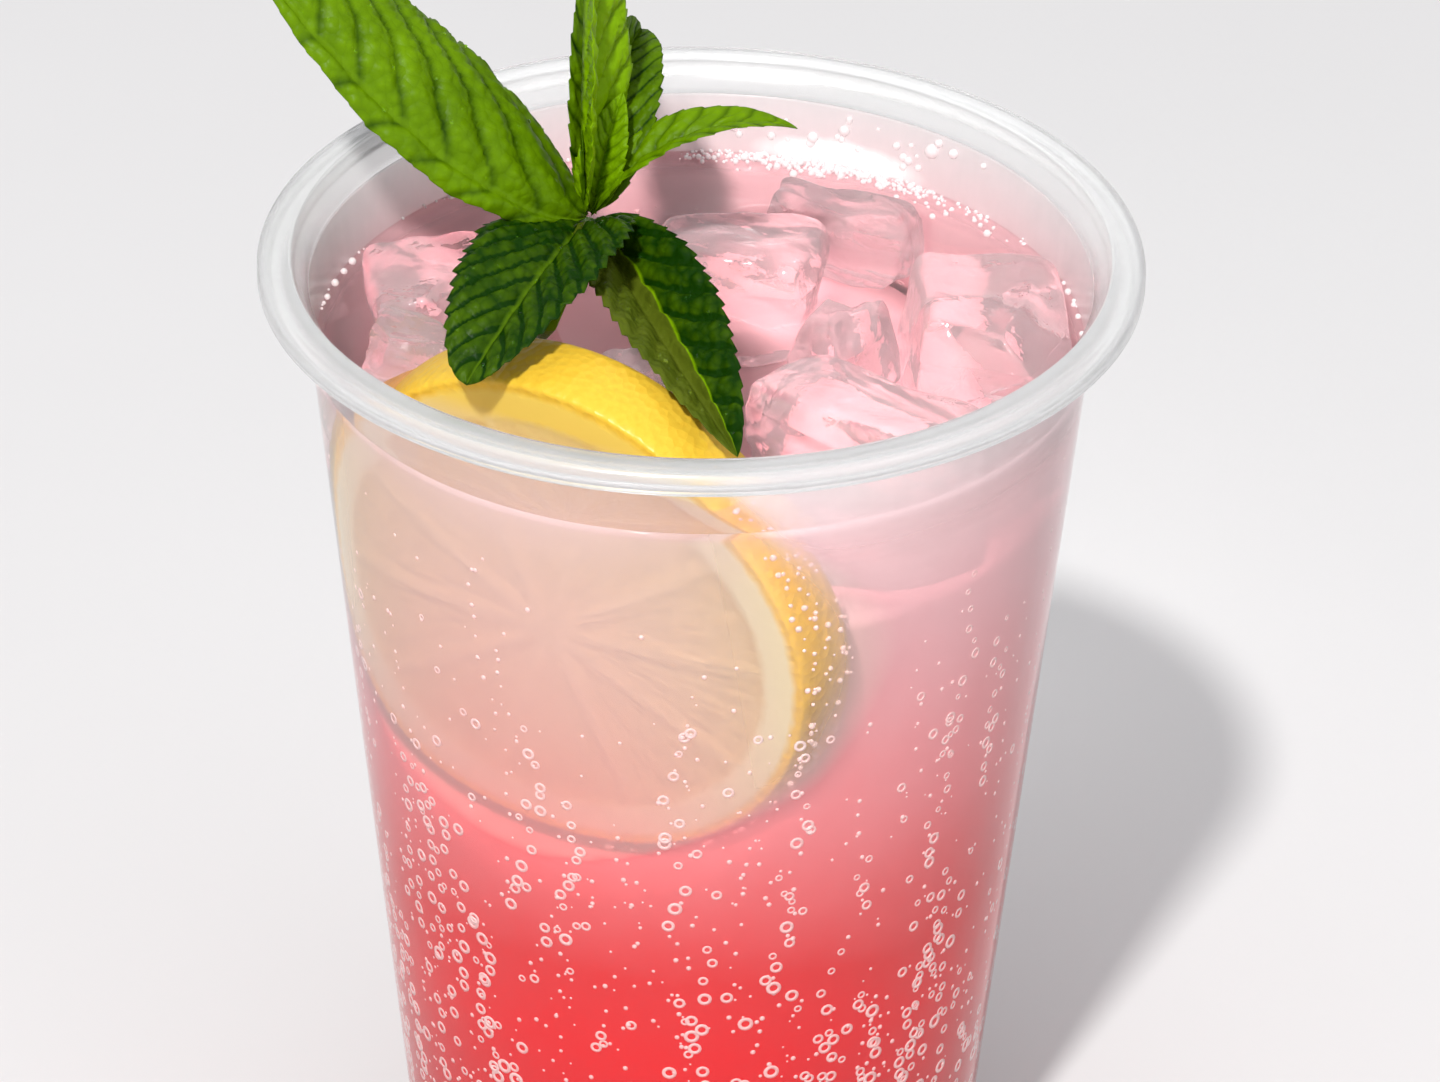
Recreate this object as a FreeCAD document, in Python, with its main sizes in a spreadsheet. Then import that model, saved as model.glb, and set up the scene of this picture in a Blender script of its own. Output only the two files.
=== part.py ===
"""Iced fruit drink in a clear rolled-rim cup, with a lemon wheel and a sprig of mint.

The origin is the middle of the ring that the cup stands on, +Z up and the
front towards -Y. All sizes are in millimetres.
"""
import FreeCAD, Part
import Sketcher
import math
import os

Vector = FreeCAD.Vector
Rotation = FreeCAD.Rotation
Placement = FreeCAD.Placement

doc = FreeCAD.newDocument("IcedDrink")

# ---------------------------------------------------------------- sizes

DRIVING_SIZES = [
    # cup
    ("cup_height", 125.0),
    ("wall_top_diameter", 88.7),
    ("base_diameter", 64.4),
    ("wall_thickness", 0.6),
    ("rim_setback", 0.8),
    ("rim_width", 3.85),
    ("rim_rise", 3.3),
    ("rim_depth", 2.9),
    ("rim_round", 1.2),
    ("hem_width", 1.7),
    ("foot_ring_width", 3.2),
    ("foot_edge_round", 1.0),
    ("foot_shoulder", 2.4),
    ("base_push_up", 2.2),
    # drink
    ("level_below_rim", 11.0),
    ("wall_clearance", 0.25),
    ("fit_clearance", 0.15),
    # lemon wheel
    ("lemon_diameter", 61.0),
    ("lemon_thickness", 8.5),
    ("lemon_edge_round", 10.0),
    ("lemon_edge_fall", 1.0),
    ("rind_width", 4.2),
    ("core_diameter", 5.0),
    ("membrane_width", 0.9),
    ("flesh_recess", 0.3),
    ("lemon_segments", 10),
    ("lemon_wall_gap", 0.4),
    ("lemon_bearing", 31.0),
    ("lemon_lean", 10.0),
    ("lemon_below_rim", 31.0),
    # ice, whose blocks are listed for a cup of the pack radius at the pack depth
    ("ice_pack_radius", 41.32),
    ("ice_pack_depth", 14.0),
    ("ice_edge_cut", 1.5),
    ("ice_taper", 1.4),
    # mint
    ("stem_width", 2.4),
    ("stem_length", 34.0),
    ("stem_corner_cut", 0.5),
    ("stem_bend_radius", 190.0),
    ("stem_lean", 20.0),
    ("stem_bearing", 202.0),
    ("knuckle_width", 3.6),
    ("knuckle_height", 2.8),
    ("node_above_rim", 1.0),
    ("node_behind_lemon", 19.8),
    ("node_beside_lemon", 12.8),
    ("leaf_thickness", 0.5),
    ("leaf_stalk_width", 1.5),
    ("leaf_tooth_depth", 0.07),
]

sheet = doc.addObject("Spreadsheet::Sheet", "Sizes")
for row, (alias, number) in enumerate(DRIVING_SIZES, start=1):
    sheet.set("A%d" % row, alias)
    sheet.set("B%d" % row, str(number))
    sheet.setAlias("B%d" % row, alias)
probe = doc.addObject("App::VarSet", "Probe")
probe.addProperty("App::PropertyFloat", "Result", "Probe", "Worth of the last formula asked for")
doc.recompute()


def size(alias):
    """A driving size as a plain number."""
    return float(sheet.get(alias))


def worth(formula):
    """The number that a formula of driving sizes gives."""
    probe.setExpression("Result", formula)
    probe.recompute()
    return float(probe.Result)


# ------------------------------------------------------- formulas that fits share

WALL_RISE = "(Sizes.wall_top_diameter - Sizes.base_diameter) / 2 / Sizes.cup_height"


def outer_radius_at(height):
    """Formula for the wall's outside radius at a height, which is a formula too."""
    return "(Sizes.base_diameter / 2 + (%s) * (%s))" % (WALL_RISE, height)


def inner_radius_at(height):
    """Formula for the wall's inside radius at a height."""
    return "(%s - Sizes.wall_thickness)" % outer_radius_at(height)


RIM_TOP = "Sizes.cup_height"
LEVEL = "(Sizes.cup_height - Sizes.level_below_rim)"
JUNCTION = "(Sizes.cup_height - Sizes.rim_rise)"
FLOOR = "(Sizes.base_push_up + Sizes.wall_thickness)"
FOOT_INSIDE = "(Sizes.base_diameter / 2 - Sizes.foot_ring_width)"
PANEL_EDGE = "(%s - Sizes.foot_shoulder)" % FOOT_INSIDE
RIM_INSIDE = "(Sizes.wall_top_diameter / 2 + Sizes.rim_setback)"
RIM_RADIUS = "(%s + Sizes.rim_width)" % RIM_INSIDE
INNER_FOOT = "(Sizes.foot_edge_round + Sizes.wall_thickness)"


# ------------------------------------------------------------- sketch helpers

def origin_plane(body, role):
    """One of a body's own three origin planes."""
    for feature in body.Origin.OriginFeatures:
        if feature.Role == role:
            return feature
    raise ValueError("no plane with the role " + role)


def arc_between(start, end, radius, leftward):
    """Arc from start to end with the bulge to the right, or to the left of the way it goes."""
    chord = end - start
    half = chord.Length / 2
    rise = math.sqrt(max(radius * radius - half * half, 0.0))
    side = Vector(-chord.y, chord.x, 0)
    side.normalize()
    if leftward:
        side = side * -1
    centre = (start + end) * 0.5 + side * rise
    bulge = centre - side * radius
    return Part.Arc(start, bulge, end)


def closed_sketch(body, name, role, corners, offset=None):
    """Closed outline through corners, each with its two places bound to formulas.

    A corner is (across, up, radius, leftward): radius is None when the side that
    leaves the corner is straight, or the formula of that arc's radius.
    """
    sketch = body.newObject("Sketcher::SketchObject", name)
    sketch.AttachmentSupport = [(origin_plane(body, role), "")]
    sketch.MapMode = "FlatFace"
    if offset is not None:
        sketch.setExpression("AttachmentOffset.Base.z", offset)
    points = [Vector(worth(c[0]), worth(c[1]), 0) for c in corners]
    count = len(corners)
    for index, corner in enumerate(corners):
        start = points[index]
        end = points[(index + 1) % count]
        if corner[2] is None:
            sketch.addGeometry(Part.LineSegment(start, end), False)
        else:
            sketch.addGeometry(arc_between(start, end, worth(corner[2]), corner[3]), False)
    # An arc drawn against the sketch's own sense has its two ends swapped.
    ends = []
    for index in range(count):
        geometry = sketch.Geometry[index]
        first = geometry.StartPoint.distanceToPoint(points[index])
        last = geometry.EndPoint.distanceToPoint(points[index])
        ends.append((1, 2) if first <= last else (2, 1))
    constrain = sketch.addConstraint
    for index, corner in enumerate(corners):
        nxt = (index + 1) % count
        constrain(Sketcher.Constraint("Coincident", index, ends[index][1], nxt, ends[nxt][0]))
    for index, corner in enumerate(corners):
        place = points[index]
        vertex = ends[index][0]
        for kind, axis, formula, where in (
            ("DistanceX", "Across", corner[0], place.x),
            ("DistanceY", "Up", corner[1], place.y),
        ):
            if formula == "0":
                line = -2 if kind == "DistanceX" else -1
                constrain(Sketcher.Constraint("PointOnObject", index, vertex, line))
                continue
            number = constrain(Sketcher.Constraint(kind, -1, 1, index, vertex, where))
            label = "%s%d" % (axis, index)
            sketch.renameConstraint(number, label)
            sketch.setExpression("Constraints." + label, formula)
        if corner[2] is not None:
            number = constrain(Sketcher.Constraint("Radius", index, worth(corner[2])))
            label = "Round%d" % index
            sketch.renameConstraint(number, label)
            sketch.setExpression("Constraints." + label, corner[2])
    doc.recompute()
    return sketch


def revolve(body, sketch):
    """Turn a sketch drawn in the XZ plane a full turn about the body's Z."""
    feature = body.newObject("PartDesign::Revolution", sketch.Name + "Turn")
    feature.Profile = sketch
    feature.ReferenceAxis = (sketch, ["V_Axis"])
    feature.Angle = 360.0
    sketch.Visibility = False
    doc.recompute()
    return feature


# ----------------------------------------------------------------------- cup

def make_cup():
    """Thin cup: pushed-up base panel, foot ring, straight tapered wall and rolled rim."""
    body = doc.addObject("PartDesign::Body", "CupBody")
    body.Label = "cup"
    thin = "Sizes.wall_thickness"
    rim = RIM_RADIUS
    round_start = "(%s - Sizes.rim_round)" % rim
    hem_bottom = "(Sizes.cup_height - Sizes.rim_depth)"
    corners = [
        ("0", "Sizes.base_push_up", None, False),
        (PANEL_EDGE, "Sizes.base_push_up", None, False),
        (FOOT_INSIDE, "0", None, False),
        ("(Sizes.base_diameter / 2 - Sizes.foot_edge_round)", "0", "Sizes.foot_edge_round", False),
        (outer_radius_at("Sizes.foot_edge_round"), "Sizes.foot_edge_round", None, False),
        (outer_radius_at(JUNCTION), JUNCTION, None, False),
        ("(%s + %s * 0.6)" % (RIM_INSIDE, thin), "%s - %s" % (RIM_TOP, thin), None, False),
        (round_start, "%s - %s" % (RIM_TOP, thin), None, False),
        ("(%s - %s)" % (rim, thin), "%s - Sizes.rim_round" % RIM_TOP, None, False),
        ("(%s - %s)" % (rim, thin), "%s + %s" % (hem_bottom, thin), None, False),
        ("(%s - Sizes.hem_width)" % rim, "%s + %s" % (hem_bottom, thin), None, False),
        ("(%s - Sizes.hem_width)" % rim, hem_bottom, None, False),
        ("(%s - %s)" % (rim, thin), hem_bottom, None, False),
        (rim, "%s + %s" % (hem_bottom, thin), None, False),
        (rim, "%s - Sizes.rim_round" % RIM_TOP, "Sizes.rim_round", False),
        (round_start, RIM_TOP, None, False),
        (RIM_INSIDE, RIM_TOP, None, False),
        (inner_radius_at(JUNCTION), JUNCTION, None, False),
        (inner_radius_at(INNER_FOOT), INNER_FOOT, None, False),
        ("(%s - Sizes.foot_edge_round)" % inner_radius_at("0"), thin, None, False),
        ("(%s + %s * 0.5)" % (FOOT_INSIDE, thin), thin, None, False),
        ("(%s + %s * 0.5)" % (PANEL_EDGE, thin), FLOOR, None, False),
        ("0", FLOOR, None, False),
    ]
    sketch = closed_sketch(body, "CupProfile", "XZ_Plane", corners)
    body.Tip = revolve(body, sketch)
    doc.recompute()
    return body


# --------------------------------------------------------------------- lemon

EDGE_POINTS = 72


def lemon_directions():
    """Unit directions of the wheel: outward to the wall, across it, up its face, and its look.

    The face looks to the front and left, and a little down.
    """
    bearing = math.radians(size("lemon_bearing"))
    lean = math.radians(size("lemon_lean"))
    outward = Vector(-math.sin(bearing), -math.cos(bearing), 0)
    across = Vector(math.cos(bearing), -math.sin(bearing), 0)
    look = outward * math.cos(lean) - Vector(0, 0, math.sin(lean))
    upward = look.cross(across) * -1
    return outward, across, upward, look


def lemon_reach():
    """How far out the wheel's middle goes until an edge comes within its gap of the wall."""
    outward, across, upward, look = lemon_directions()
    middle_height = size("cup_height") - size("lemon_below_rim")
    radius = size("lemon_diameter") / 2
    thickness = size("lemon_thickness")
    edge = radius - size("lemon_edge_fall")
    foot = worth(inner_radius_at("0")) - size("lemon_wall_gap")
    rise = worth(WALL_RISE)
    reach = worth(RIM_RADIUS)
    for face, ring in ((0.5, edge), (0.0, radius), (-0.5, edge)):
        for step in range(EDGE_POINTS):
            turn = math.radians(360.0 * step / EDGE_POINTS)
            point = across * (ring * math.cos(turn)) + upward * (ring * math.sin(turn))
            point = point + look * (face * thickness)
            wall = foot + rise * (middle_height + point.z)
            sideways = point.dot(across)
            room = math.sqrt(max(wall * wall - sideways * sideways, 0.0)) - point.dot(outward)
            reach = min(reach, room)
    return reach


def lemon_placement():
    """Where the wheel leans on the inside of the wall."""
    outward, across, upward, look = lemon_directions()
    middle_height = size("cup_height") - size("lemon_below_rim")
    centre = outward * lemon_reach() + Vector(0, 0, middle_height)
    return Placement(centre, Rotation(across, upward, look, "ZXY"))


def segment_corners():
    """Outline of one flesh segment between two membranes, about the X axis."""
    half_angle = "(180 deg / Sizes.lemon_segments)"
    flesh = "(Sizes.lemon_diameter / 2 - Sizes.rind_width)"
    half_wall = "(Sizes.membrane_width / 2)"
    core = "(Sizes.core_diameter / 2)"
    near = "(%s + %s)" % (core, half_wall)
    near_side = "(%s * tan(%s) - %s / cos(%s))" % (near, half_angle, half_wall, half_angle)
    far = "(%s * cos(%s) + %s * sin(%s))" % (flesh, half_angle, half_wall, half_angle)
    far_side = "(%s * tan(%s) - %s / cos(%s))" % (far, half_angle, half_wall, half_angle)
    return [
        (near, "-1 * (%s)" % near_side, None, False),
        (far, "-1 * (%s)" % far_side, flesh, False),
        (far, far_side, None, False),
        (near, near_side, None, False),
    ]


def make_lemon():
    """Wheel with a rounded rind and shallow flesh segments on both cut faces."""
    body = doc.addObject("PartDesign::Body", "LemonBody")
    body.Label = "lemon_slice"
    face_radius = "(Sizes.lemon_diameter / 2 - Sizes.lemon_edge_fall)"
    half = "(Sizes.lemon_thickness / 2)"
    corners = [
        ("0", "-1 * %s" % half, None, False),
        (face_radius, "-1 * %s" % half, "Sizes.lemon_edge_round", False),
        (face_radius, half, None, False),
        ("0", half, None, False),
    ]
    tip = revolve(body, closed_sketch(body, "LemonProfile", "XZ_Plane", corners))
    for name, height, backward in (("Front", half, False), ("Back", "-1 * %s" % half, True)):
        before = tip.Shape.Volume
        outline = closed_sketch(body, name + "Segment", "XY_Plane", segment_corners(), height)
        pocket = body.newObject("PartDesign::Pocket", name + "Flesh")
        pocket.Profile = outline
        pocket.setExpression("Length", "Sizes.flesh_recess")
        pocket.Reversed = backward
        doc.recompute()
        if pocket.Shape.Volume >= before:
            raise ValueError(name + " flesh cuts nothing")
        pattern = body.newObject("PartDesign::PolarPattern", name + "Segments")
        pattern.Originals = [pocket]
        pattern.Axis = (outline, ["N_Axis"])
        pattern.Angle = 360.0
        pattern.setExpression("Occurrences", "Sizes.lemon_segments")
        body.Tip = pattern
        doc.recompute()
        tip = pattern
    body.Placement = lemon_placement()
    doc.recompute()
    return body


def make_lemon_room(name, beyond):
    """Plain disc a clearance larger than the wheel; the formula beyond lengthens it in front."""
    room = doc.addObject("Part::Cylinder", name)
    room.setExpression("Radius", "Sizes.lemon_diameter / 2 + Sizes.fit_clearance")
    room.setExpression("Height", "Sizes.lemon_thickness + 2 * Sizes.fit_clearance + %s" % beyond)
    place = lemon_placement()
    drop = -size("lemon_thickness") / 2 - size("fit_clearance")
    room.Placement = place.multiply(Placement(Vector(0, 0, drop), Rotation()))
    return room


# ----------------------------------------------------------------------- ice

# name, bearing round the cup (from +X), reach from the axis, top above the level,
# length, width, height, turn about Z, tip sideways, tip forwards
ICE_BLOCKS = [
    ("ice_left", 161.0, 31.0, 4.5, 17.0, 14.0, 21.0, 10.0, 6.0, -5.0),
    ("ice_left_front", 187.0, 31.5, 2.5, 10.5, 9.0, 13.0, -14.0, -5.0, 4.0),
    ("ice_middle", 76.0, 16.8, 4.0, 19.0, 16.0, 22.0, -10.0, -5.0, 5.0),
    ("ice_middle_front", 240.0, 14.0, 3.5, 13.0, 12.0, 14.0, 27.0, 6.0, 7.0),
    ("ice_inner_right", 3.0, 15.6, 3.0, 12.0, 8.5, 17.0, 52.0, -7.0, 6.0),
    ("ice_right", 5.0, 31.0, 5.0, 17.5, 23.0, 22.0, 5.0, 5.0, 6.0),
    ("ice_front_right", 316.0, 26.6, 3.5, 26.0, 15.0, 19.0, -42.0, -4.0, -5.0),
    ("ice_back", 60.0, 33.6, 2.5, 18.0, 9.0, 18.0, -24.0, 4.0, -3.0),
]


def ice_share():
    """How much larger or smaller the cup is than the one that the blocks are listed for."""
    packed_at = inner_radius_at("%s - Sizes.ice_pack_depth" % LEVEL)
    return worth("%s / Sizes.ice_pack_radius" % packed_at)


def ice_wedge(name, length, width, height, extra):
    """Tapered block about its own middle, larger all round by the formula extra."""
    block = doc.addObject("Part::Wedge", name)
    half_length = "(%g / 2 + %s)" % (length, extra)
    half_width = "(%g / 2 + %s)" % (width, extra)
    half_height = "(%g / 2 + %s)" % (height, extra)
    for side, sign in (("min", "-1 * "), ("max", "")):
        block.setExpression("X" + side, sign + half_length)
        block.setExpression("Y" + side, sign + half_width)
        block.setExpression("Z" + side, sign + half_height)
        block.setExpression("X2" + side, sign + "(%s - Sizes.ice_taper)" % half_length)
        block.setExpression("Z2" + side, sign + "(%s - Sizes.ice_taper)" % half_height)
    return block


def make_ice(block, neighbours):
    """One block of ice cut back round its neighbours, and the room it takes in the drink."""
    name, bearing, reach, proud, length, width, height, turn, side, forward = block
    share = ice_share()
    length, width, height = length * share, width * share, height * share
    core = ice_wedge(name + "_wedge", length, width, height, "0")
    core.Placement = Placement()
    doc.recompute()
    soft = doc.addObject("Part::Chamfer", name + "_soft")
    soft.Base = core
    cut = size("ice_edge_cut")
    soft.Edges = [(i + 1, cut, cut) for i in range(len(core.Shape.Edges))]
    room = ice_wedge(name + "_room", length, width, height, "Sizes.fit_clearance")
    angle = math.radians(bearing)
    middle = Vector(
        reach * share * math.cos(angle),
        reach * share * math.sin(angle),
        worth(LEVEL) + proud - height / 2,
    )
    place = Placement(middle, Rotation(turn, forward, side))
    soft.Placement = place
    room.Placement = place
    block_left = doc.addObject("Part::Cut", name + "_fitted")
    block_left.Base = soft
    block_left.Tool = neighbours
    block_left.Label = name
    doc.recompute()
    return block_left, room


# ---------------------------------------------------------------------- mint

# A leaf is named by how it grows from the node: length, greatest width, heading
# (from +X), rise at the stalk and at the tip, swing of the heading along the leaf,
# roll about the midrib, fold of its two halves, teeth on a side, and the stalk's
# place beside the node. Angles are in degrees.
LEAVES = [
    ("broad_left", 50.0, 22.0, 188.9, 52.9, 30.6, -16.9, -19.5, -19.8, 13, (0.0, 0.0, 1.0)),
    ("low_front", 34.8, 17.5, 257.9, 21.2, -30.4, -18.9, 5.6, 15.4, 11, (0.0, -0.6, 0.0)),
    ("hanging_front", 42.4, 16.4, 293.5, -10.2, -8.1, -1.2, 5.6, 41.0, 12, (0.6, -0.6, 0.0)),
    ("arched_right", 26.7, 7.3, 10.5, 60.8, -20.4, 3.2, 2.6, 22.1, 9, (0.6, 0.0, 1.0)),
    ("upright", 36.0, 14.0, 80.0, 86.0, 84.0, 0.0, 82.0, 24.0, 10, (-0.4, 0.2, 1.2)),
    ("cupped_back", 26.2, 12.2, 77.0, 68.0, -8.5, -3.0, 37.0, 46.0, 9, (0.2, 0.6, 1.2)),
    ("small_inner", 14.0, 6.0, 40.0, 78.0, 62.0, 10.0, 30.0, 22.0, 6, (0.5, 0.2, 1.2)),
    ("far_back", 31.0, 6.5, 88.0, 68.0, 48.0, 4.0, 30.0, 22.0, 8, (-0.3, 0.6, 1.0)),
]
BLADE_PEAK = 0.8
BLADE_FULLNESS = 0.75
TOOTH_GAP = 0.25
TIP_HALF_WIDTH = 0.25
STATIONS_PER_TOOTH = 2
LANES = (-1.0, -0.55, 0.0, 0.55, 1.0)


def leaf_half_width(along, widest, teeth):
    """Half width at a share of the length: an ovate blade with saw teeth."""
    blade = math.sin(math.pi * along ** BLADE_PEAK) ** BLADE_FULLNESS if 0 < along < 1 else 0.0
    in_gap = (along * teeth) % 1.0 <= TOOTH_GAP
    bite = 1.0 - size("leaf_tooth_depth") if in_gap else 1.0
    stalk = size("leaf_stalk_width") / 2 * (1.0 - along) ** 2
    return max(widest / 2 * blade * bite, stalk, TIP_HALF_WIDTH)


def leaf_frames(length, heading, rise, end_rise, swing, roll, stations, start):
    """Midrib points with their side and face directions, one for each station."""
    frames = []
    place = Vector(*start)
    previous = None
    for index in range(stations):
        along = index / (stations - 1.0)
        yaw = math.radians(heading + swing * along)
        pitch = math.radians(rise + (end_rise - rise) * along)
        way = Vector(
            math.cos(pitch) * math.cos(yaw),
            math.cos(pitch) * math.sin(yaw),
            math.sin(pitch),
        )
        if previous is not None:
            place = place + (way + previous) * (0.5 * length / (stations - 1.0))
        previous = way
        left = Vector(-math.sin(yaw), math.cos(yaw), 0)
        face = way.cross(left)
        turn = math.radians(roll)
        side = left * math.cos(turn) + face * math.sin(turn)
        frames.append((along, place, side, way.cross(side)))
    return frames


def leaf_skins(leaf):
    """Upper and lower grids of points of one leaf."""
    name, length, width, heading, rise, end_rise, swing, roll, fold, teeth, start = leaf
    stations = teeth * STATIONS_PER_TOOTH + 1
    frames = leaf_frames(length, heading, rise, end_rise, swing, roll, stations, start)
    half_thick = size("leaf_thickness") / 2
    lift = math.sin(math.radians(fold))
    spread = math.cos(math.radians(fold))
    skins = []
    for shift in (half_thick, -half_thick):
        grid = []
        for along, place, side, face in frames:
            half = leaf_half_width(along, width, teeth)
            line = []
            for across in LANES:
                out = side * (half * across * spread)
                raised = face * (half * abs(across) * lift + shift)
                line.append(place + out + raised)
            grid.append(line)
        skins.append(grid)
    return skins


def quad(corners):
    """Two flat facets through four points."""
    first, second, third, fourth = corners
    return [
        Part.Face(Part.makePolygon([first, second, third, first])),
        Part.Face(Part.makePolygon([first, third, fourth, first])),
    ]


def leaf_solid(leaf):
    """Closed blade of flat facets between the upper and the lower grid."""
    upper, lower = leaf_skins(leaf)
    faces = []
    last = len(upper) - 1
    side = len(LANES) - 1
    for i in range(last):
        for j in range(side):
            faces += quad([upper[i][j], upper[i + 1][j], upper[i + 1][j + 1], upper[i][j + 1]])
            faces += quad([lower[i][j], lower[i][j + 1], lower[i + 1][j + 1], lower[i + 1][j]])
        for j in (0, side):
            faces += quad([upper[i][j], upper[i + 1][j], lower[i + 1][j], lower[i][j]])
    for i in (0, last):
        for j in range(side):
            faces += quad([upper[i][j], upper[i][j + 1], lower[i][j + 1], lower[i][j]])
    shell = Part.makeShell(faces)
    shell.sewShape()
    solid = Part.makeSolid(shell)
    if solid.Volume < 0:
        solid.reverse()
    return solid


def node_place():
    """The joint of the sprig that all its leaves grow from, behind the lemon wheel."""
    outward, across, upward, look = lemon_directions()
    out = outward * (lemon_reach() - size("node_behind_lemon"))
    height = size("cup_height") + size("node_above_rim")
    return out - across * size("node_beside_lemon") + Vector(0, 0, height)


def stem_turn():
    """How the straight-down stem is leaned over, towards its bearing."""
    lean = Rotation(Vector(0, 1, 0), size("stem_lean"))
    bearing = Rotation(Vector(0, 0, 1), size("stem_bearing"))
    return bearing.multiply(lean.inverted())


def stem_spine_points():
    """Top, middle and bottom of the stem's line: an arc that leaves the node downwards."""
    radius = size("stem_bend_radius")
    angle = size("stem_length") / radius
    points = []
    for share in (0.0, 0.5, 1.0):
        turn = angle * share
        points.append(Vector(radius * (1 - math.cos(turn)), -radius * math.sin(turn), 0))
    return points


def stem_corners(half, soft):
    """Square section with its four corners cut off."""
    corners = []
    for across, up in ((1, -1), (1, 1), (-1, 1), (-1, -1)):
        side = ("%d * %s" % (across, half), "%d * %s" % (up, soft), None, False)
        end = ("%d * %s" % (across, soft), "%d * %s" % (up, half), None, False)
        corners += [end, side] if across * up < 0 else [side, end]
    return corners


def make_stem(name, extra):
    """Square stem, gently bent, from the node down; extra is a formula added all round."""
    body = doc.addObject("PartDesign::Body", name + "Body")
    half = "(Sizes.stem_width / 2 + %s)" % extra
    soft = "(Sizes.stem_width / 2 - Sizes.stem_corner_cut + %s)" % extra
    outline = closed_sketch(body, name + "Section", "XY_Plane", stem_corners(half, soft))
    spine = body.newObject("Sketcher::SketchObject", name + "Spine")
    spine.AttachmentSupport = [(origin_plane(body, "XZ_Plane"), "")]
    spine.MapMode = "FlatFace"
    spine.addGeometry(Part.Arc(*stem_spine_points()), False)
    pipe = body.newObject("PartDesign::AdditivePipe", name + "Pipe")
    pipe.Profile = outline
    pipe.Spine = spine
    body.Tip = pipe
    body.Placement = Placement(node_place(), stem_turn())
    doc.recompute()
    return body


def make_mint():
    """Sprig of one piece: a stem, a swollen node and its leaves."""
    stem = make_stem("Stem", "0")
    height = size("knuckle_height")
    knuckle = Part.makeCylinder(size("knuckle_width") / 2, height, Vector(0, 0, -height / 2))
    growth = [knuckle] + [leaf_solid(leaf) for leaf in LEAVES]
    shape = stem.Shape.copy()
    for piece in growth:
        piece.translate(node_place())
        shape = shape.fuse(piece)
    sprig = doc.addObject("Part::Feature", "MintSprig")
    sprig.Shape = shape
    sprig.Label = "mint_sprig"
    return sprig


# --------------------------------------------------------------------- drink

def make_drink(rooms):
    """Drink up to its level, a clearance inside the cup, cut round all that stands in it."""
    body = doc.addObject("PartDesign::Body", "DrinkBody")
    gap = "Sizes.wall_clearance"
    thin = "Sizes.wall_thickness"
    floor = "(%s + %s)" % (FLOOR, gap)
    foot = "(%s + %s)" % (thin, gap)
    foot_start = "(%s + %s * 0.5 + %s)" % (FOOT_INSIDE, thin, gap)
    foot_end = "(%s - Sizes.foot_edge_round - %s)" % (inner_radius_at("0"), gap)
    corners = [
        ("0", floor, None, False),
        ("(%s + %s * 0.5 + %s)" % (PANEL_EDGE, thin, gap), floor, None, False),
        (foot_start, foot, None, False),
        (foot_end, foot, None, False),
        ("(%s - %s)" % (inner_radius_at(INNER_FOOT), gap), INNER_FOOT, None, False),
        ("(%s - %s)" % (inner_radius_at(LEVEL), gap), LEVEL, None, False),
        ("0", LEVEL, None, False),
    ]
    body.Tip = revolve(body, closed_sketch(body, "DrinkProfile", "XZ_Plane", corners))
    doc.recompute()
    everything = doc.addObject("Part::MultiFuse", "ContentsRoom")
    everything.Shapes = rooms
    doc.recompute()
    drink = doc.addObject("Part::Cut", "Drink")
    drink.Base = body
    drink.Tool = everything
    drink.Label = "drink"
    doc.recompute()
    return drink


# --------------------------------------------------------------------- build

def build():
    """Make every piece; returns the objects whose shapes are written."""
    cup = make_cup()
    lemon = make_lemon()
    stem_room = make_stem("StemRoom", "Sizes.fit_clearance")
    rooms = [make_lemon_room("LemonRoom", "0"), stem_room]
    # No ice lies between the wheel and the wall.
    garnish_room = doc.addObject("Part::MultiFuse", "GarnishRoom")
    garnish_room.Shapes = [make_lemon_room("LemonFront", RIM_RADIUS), stem_room]
    doc.recompute()
    pieces = [cup, lemon]
    for block in ICE_BLOCKS:
        ice, room = make_ice(block, garnish_room)
        pieces.append(ice)
        rooms.append(room)
    pieces.append(make_mint())
    pieces.append(make_drink(rooms))
    return pieces


def check(pieces):
    """Stop before writing when anything failed, is empty or is not a sound solid."""
    doc.recompute()
    for item in doc.Objects:
        for word in ("Invalid", "Error"):
            if word in item.State:
                raise ValueError("%s is in state %s" % (item.Label, item.State))
    for piece in pieces:
        shape = piece.Shape
        if shape.isNull() or not shape.isValid():
            raise ValueError(piece.Label + " has no sound shape")
        if len(shape.Solids) != 1:
            raise ValueError("%s has %d solids" % (piece.Label, len(shape.Solids)))


pieces = build()
check(pieces)
os.makedirs("parts", exist_ok=True)
for piece in pieces:
    piece.Shape.exportStep(os.path.join("parts", piece.Label + ".step"))
    box = piece.Shape.BoundBox
    print("%-18s %9.1f mm3  z %6.1f to %6.1f" % (piece.Label, piece.Shape.Volume, box.ZMin, box.ZMax))
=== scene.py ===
"""Looks of an iced fruit drink in a clear rolled-rim cup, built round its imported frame.

Each piece is a surface worked out with numpy. Lengths are in metres, +Z is up and
the front is towards -Y, as in the frame.
"""
import math

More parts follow.
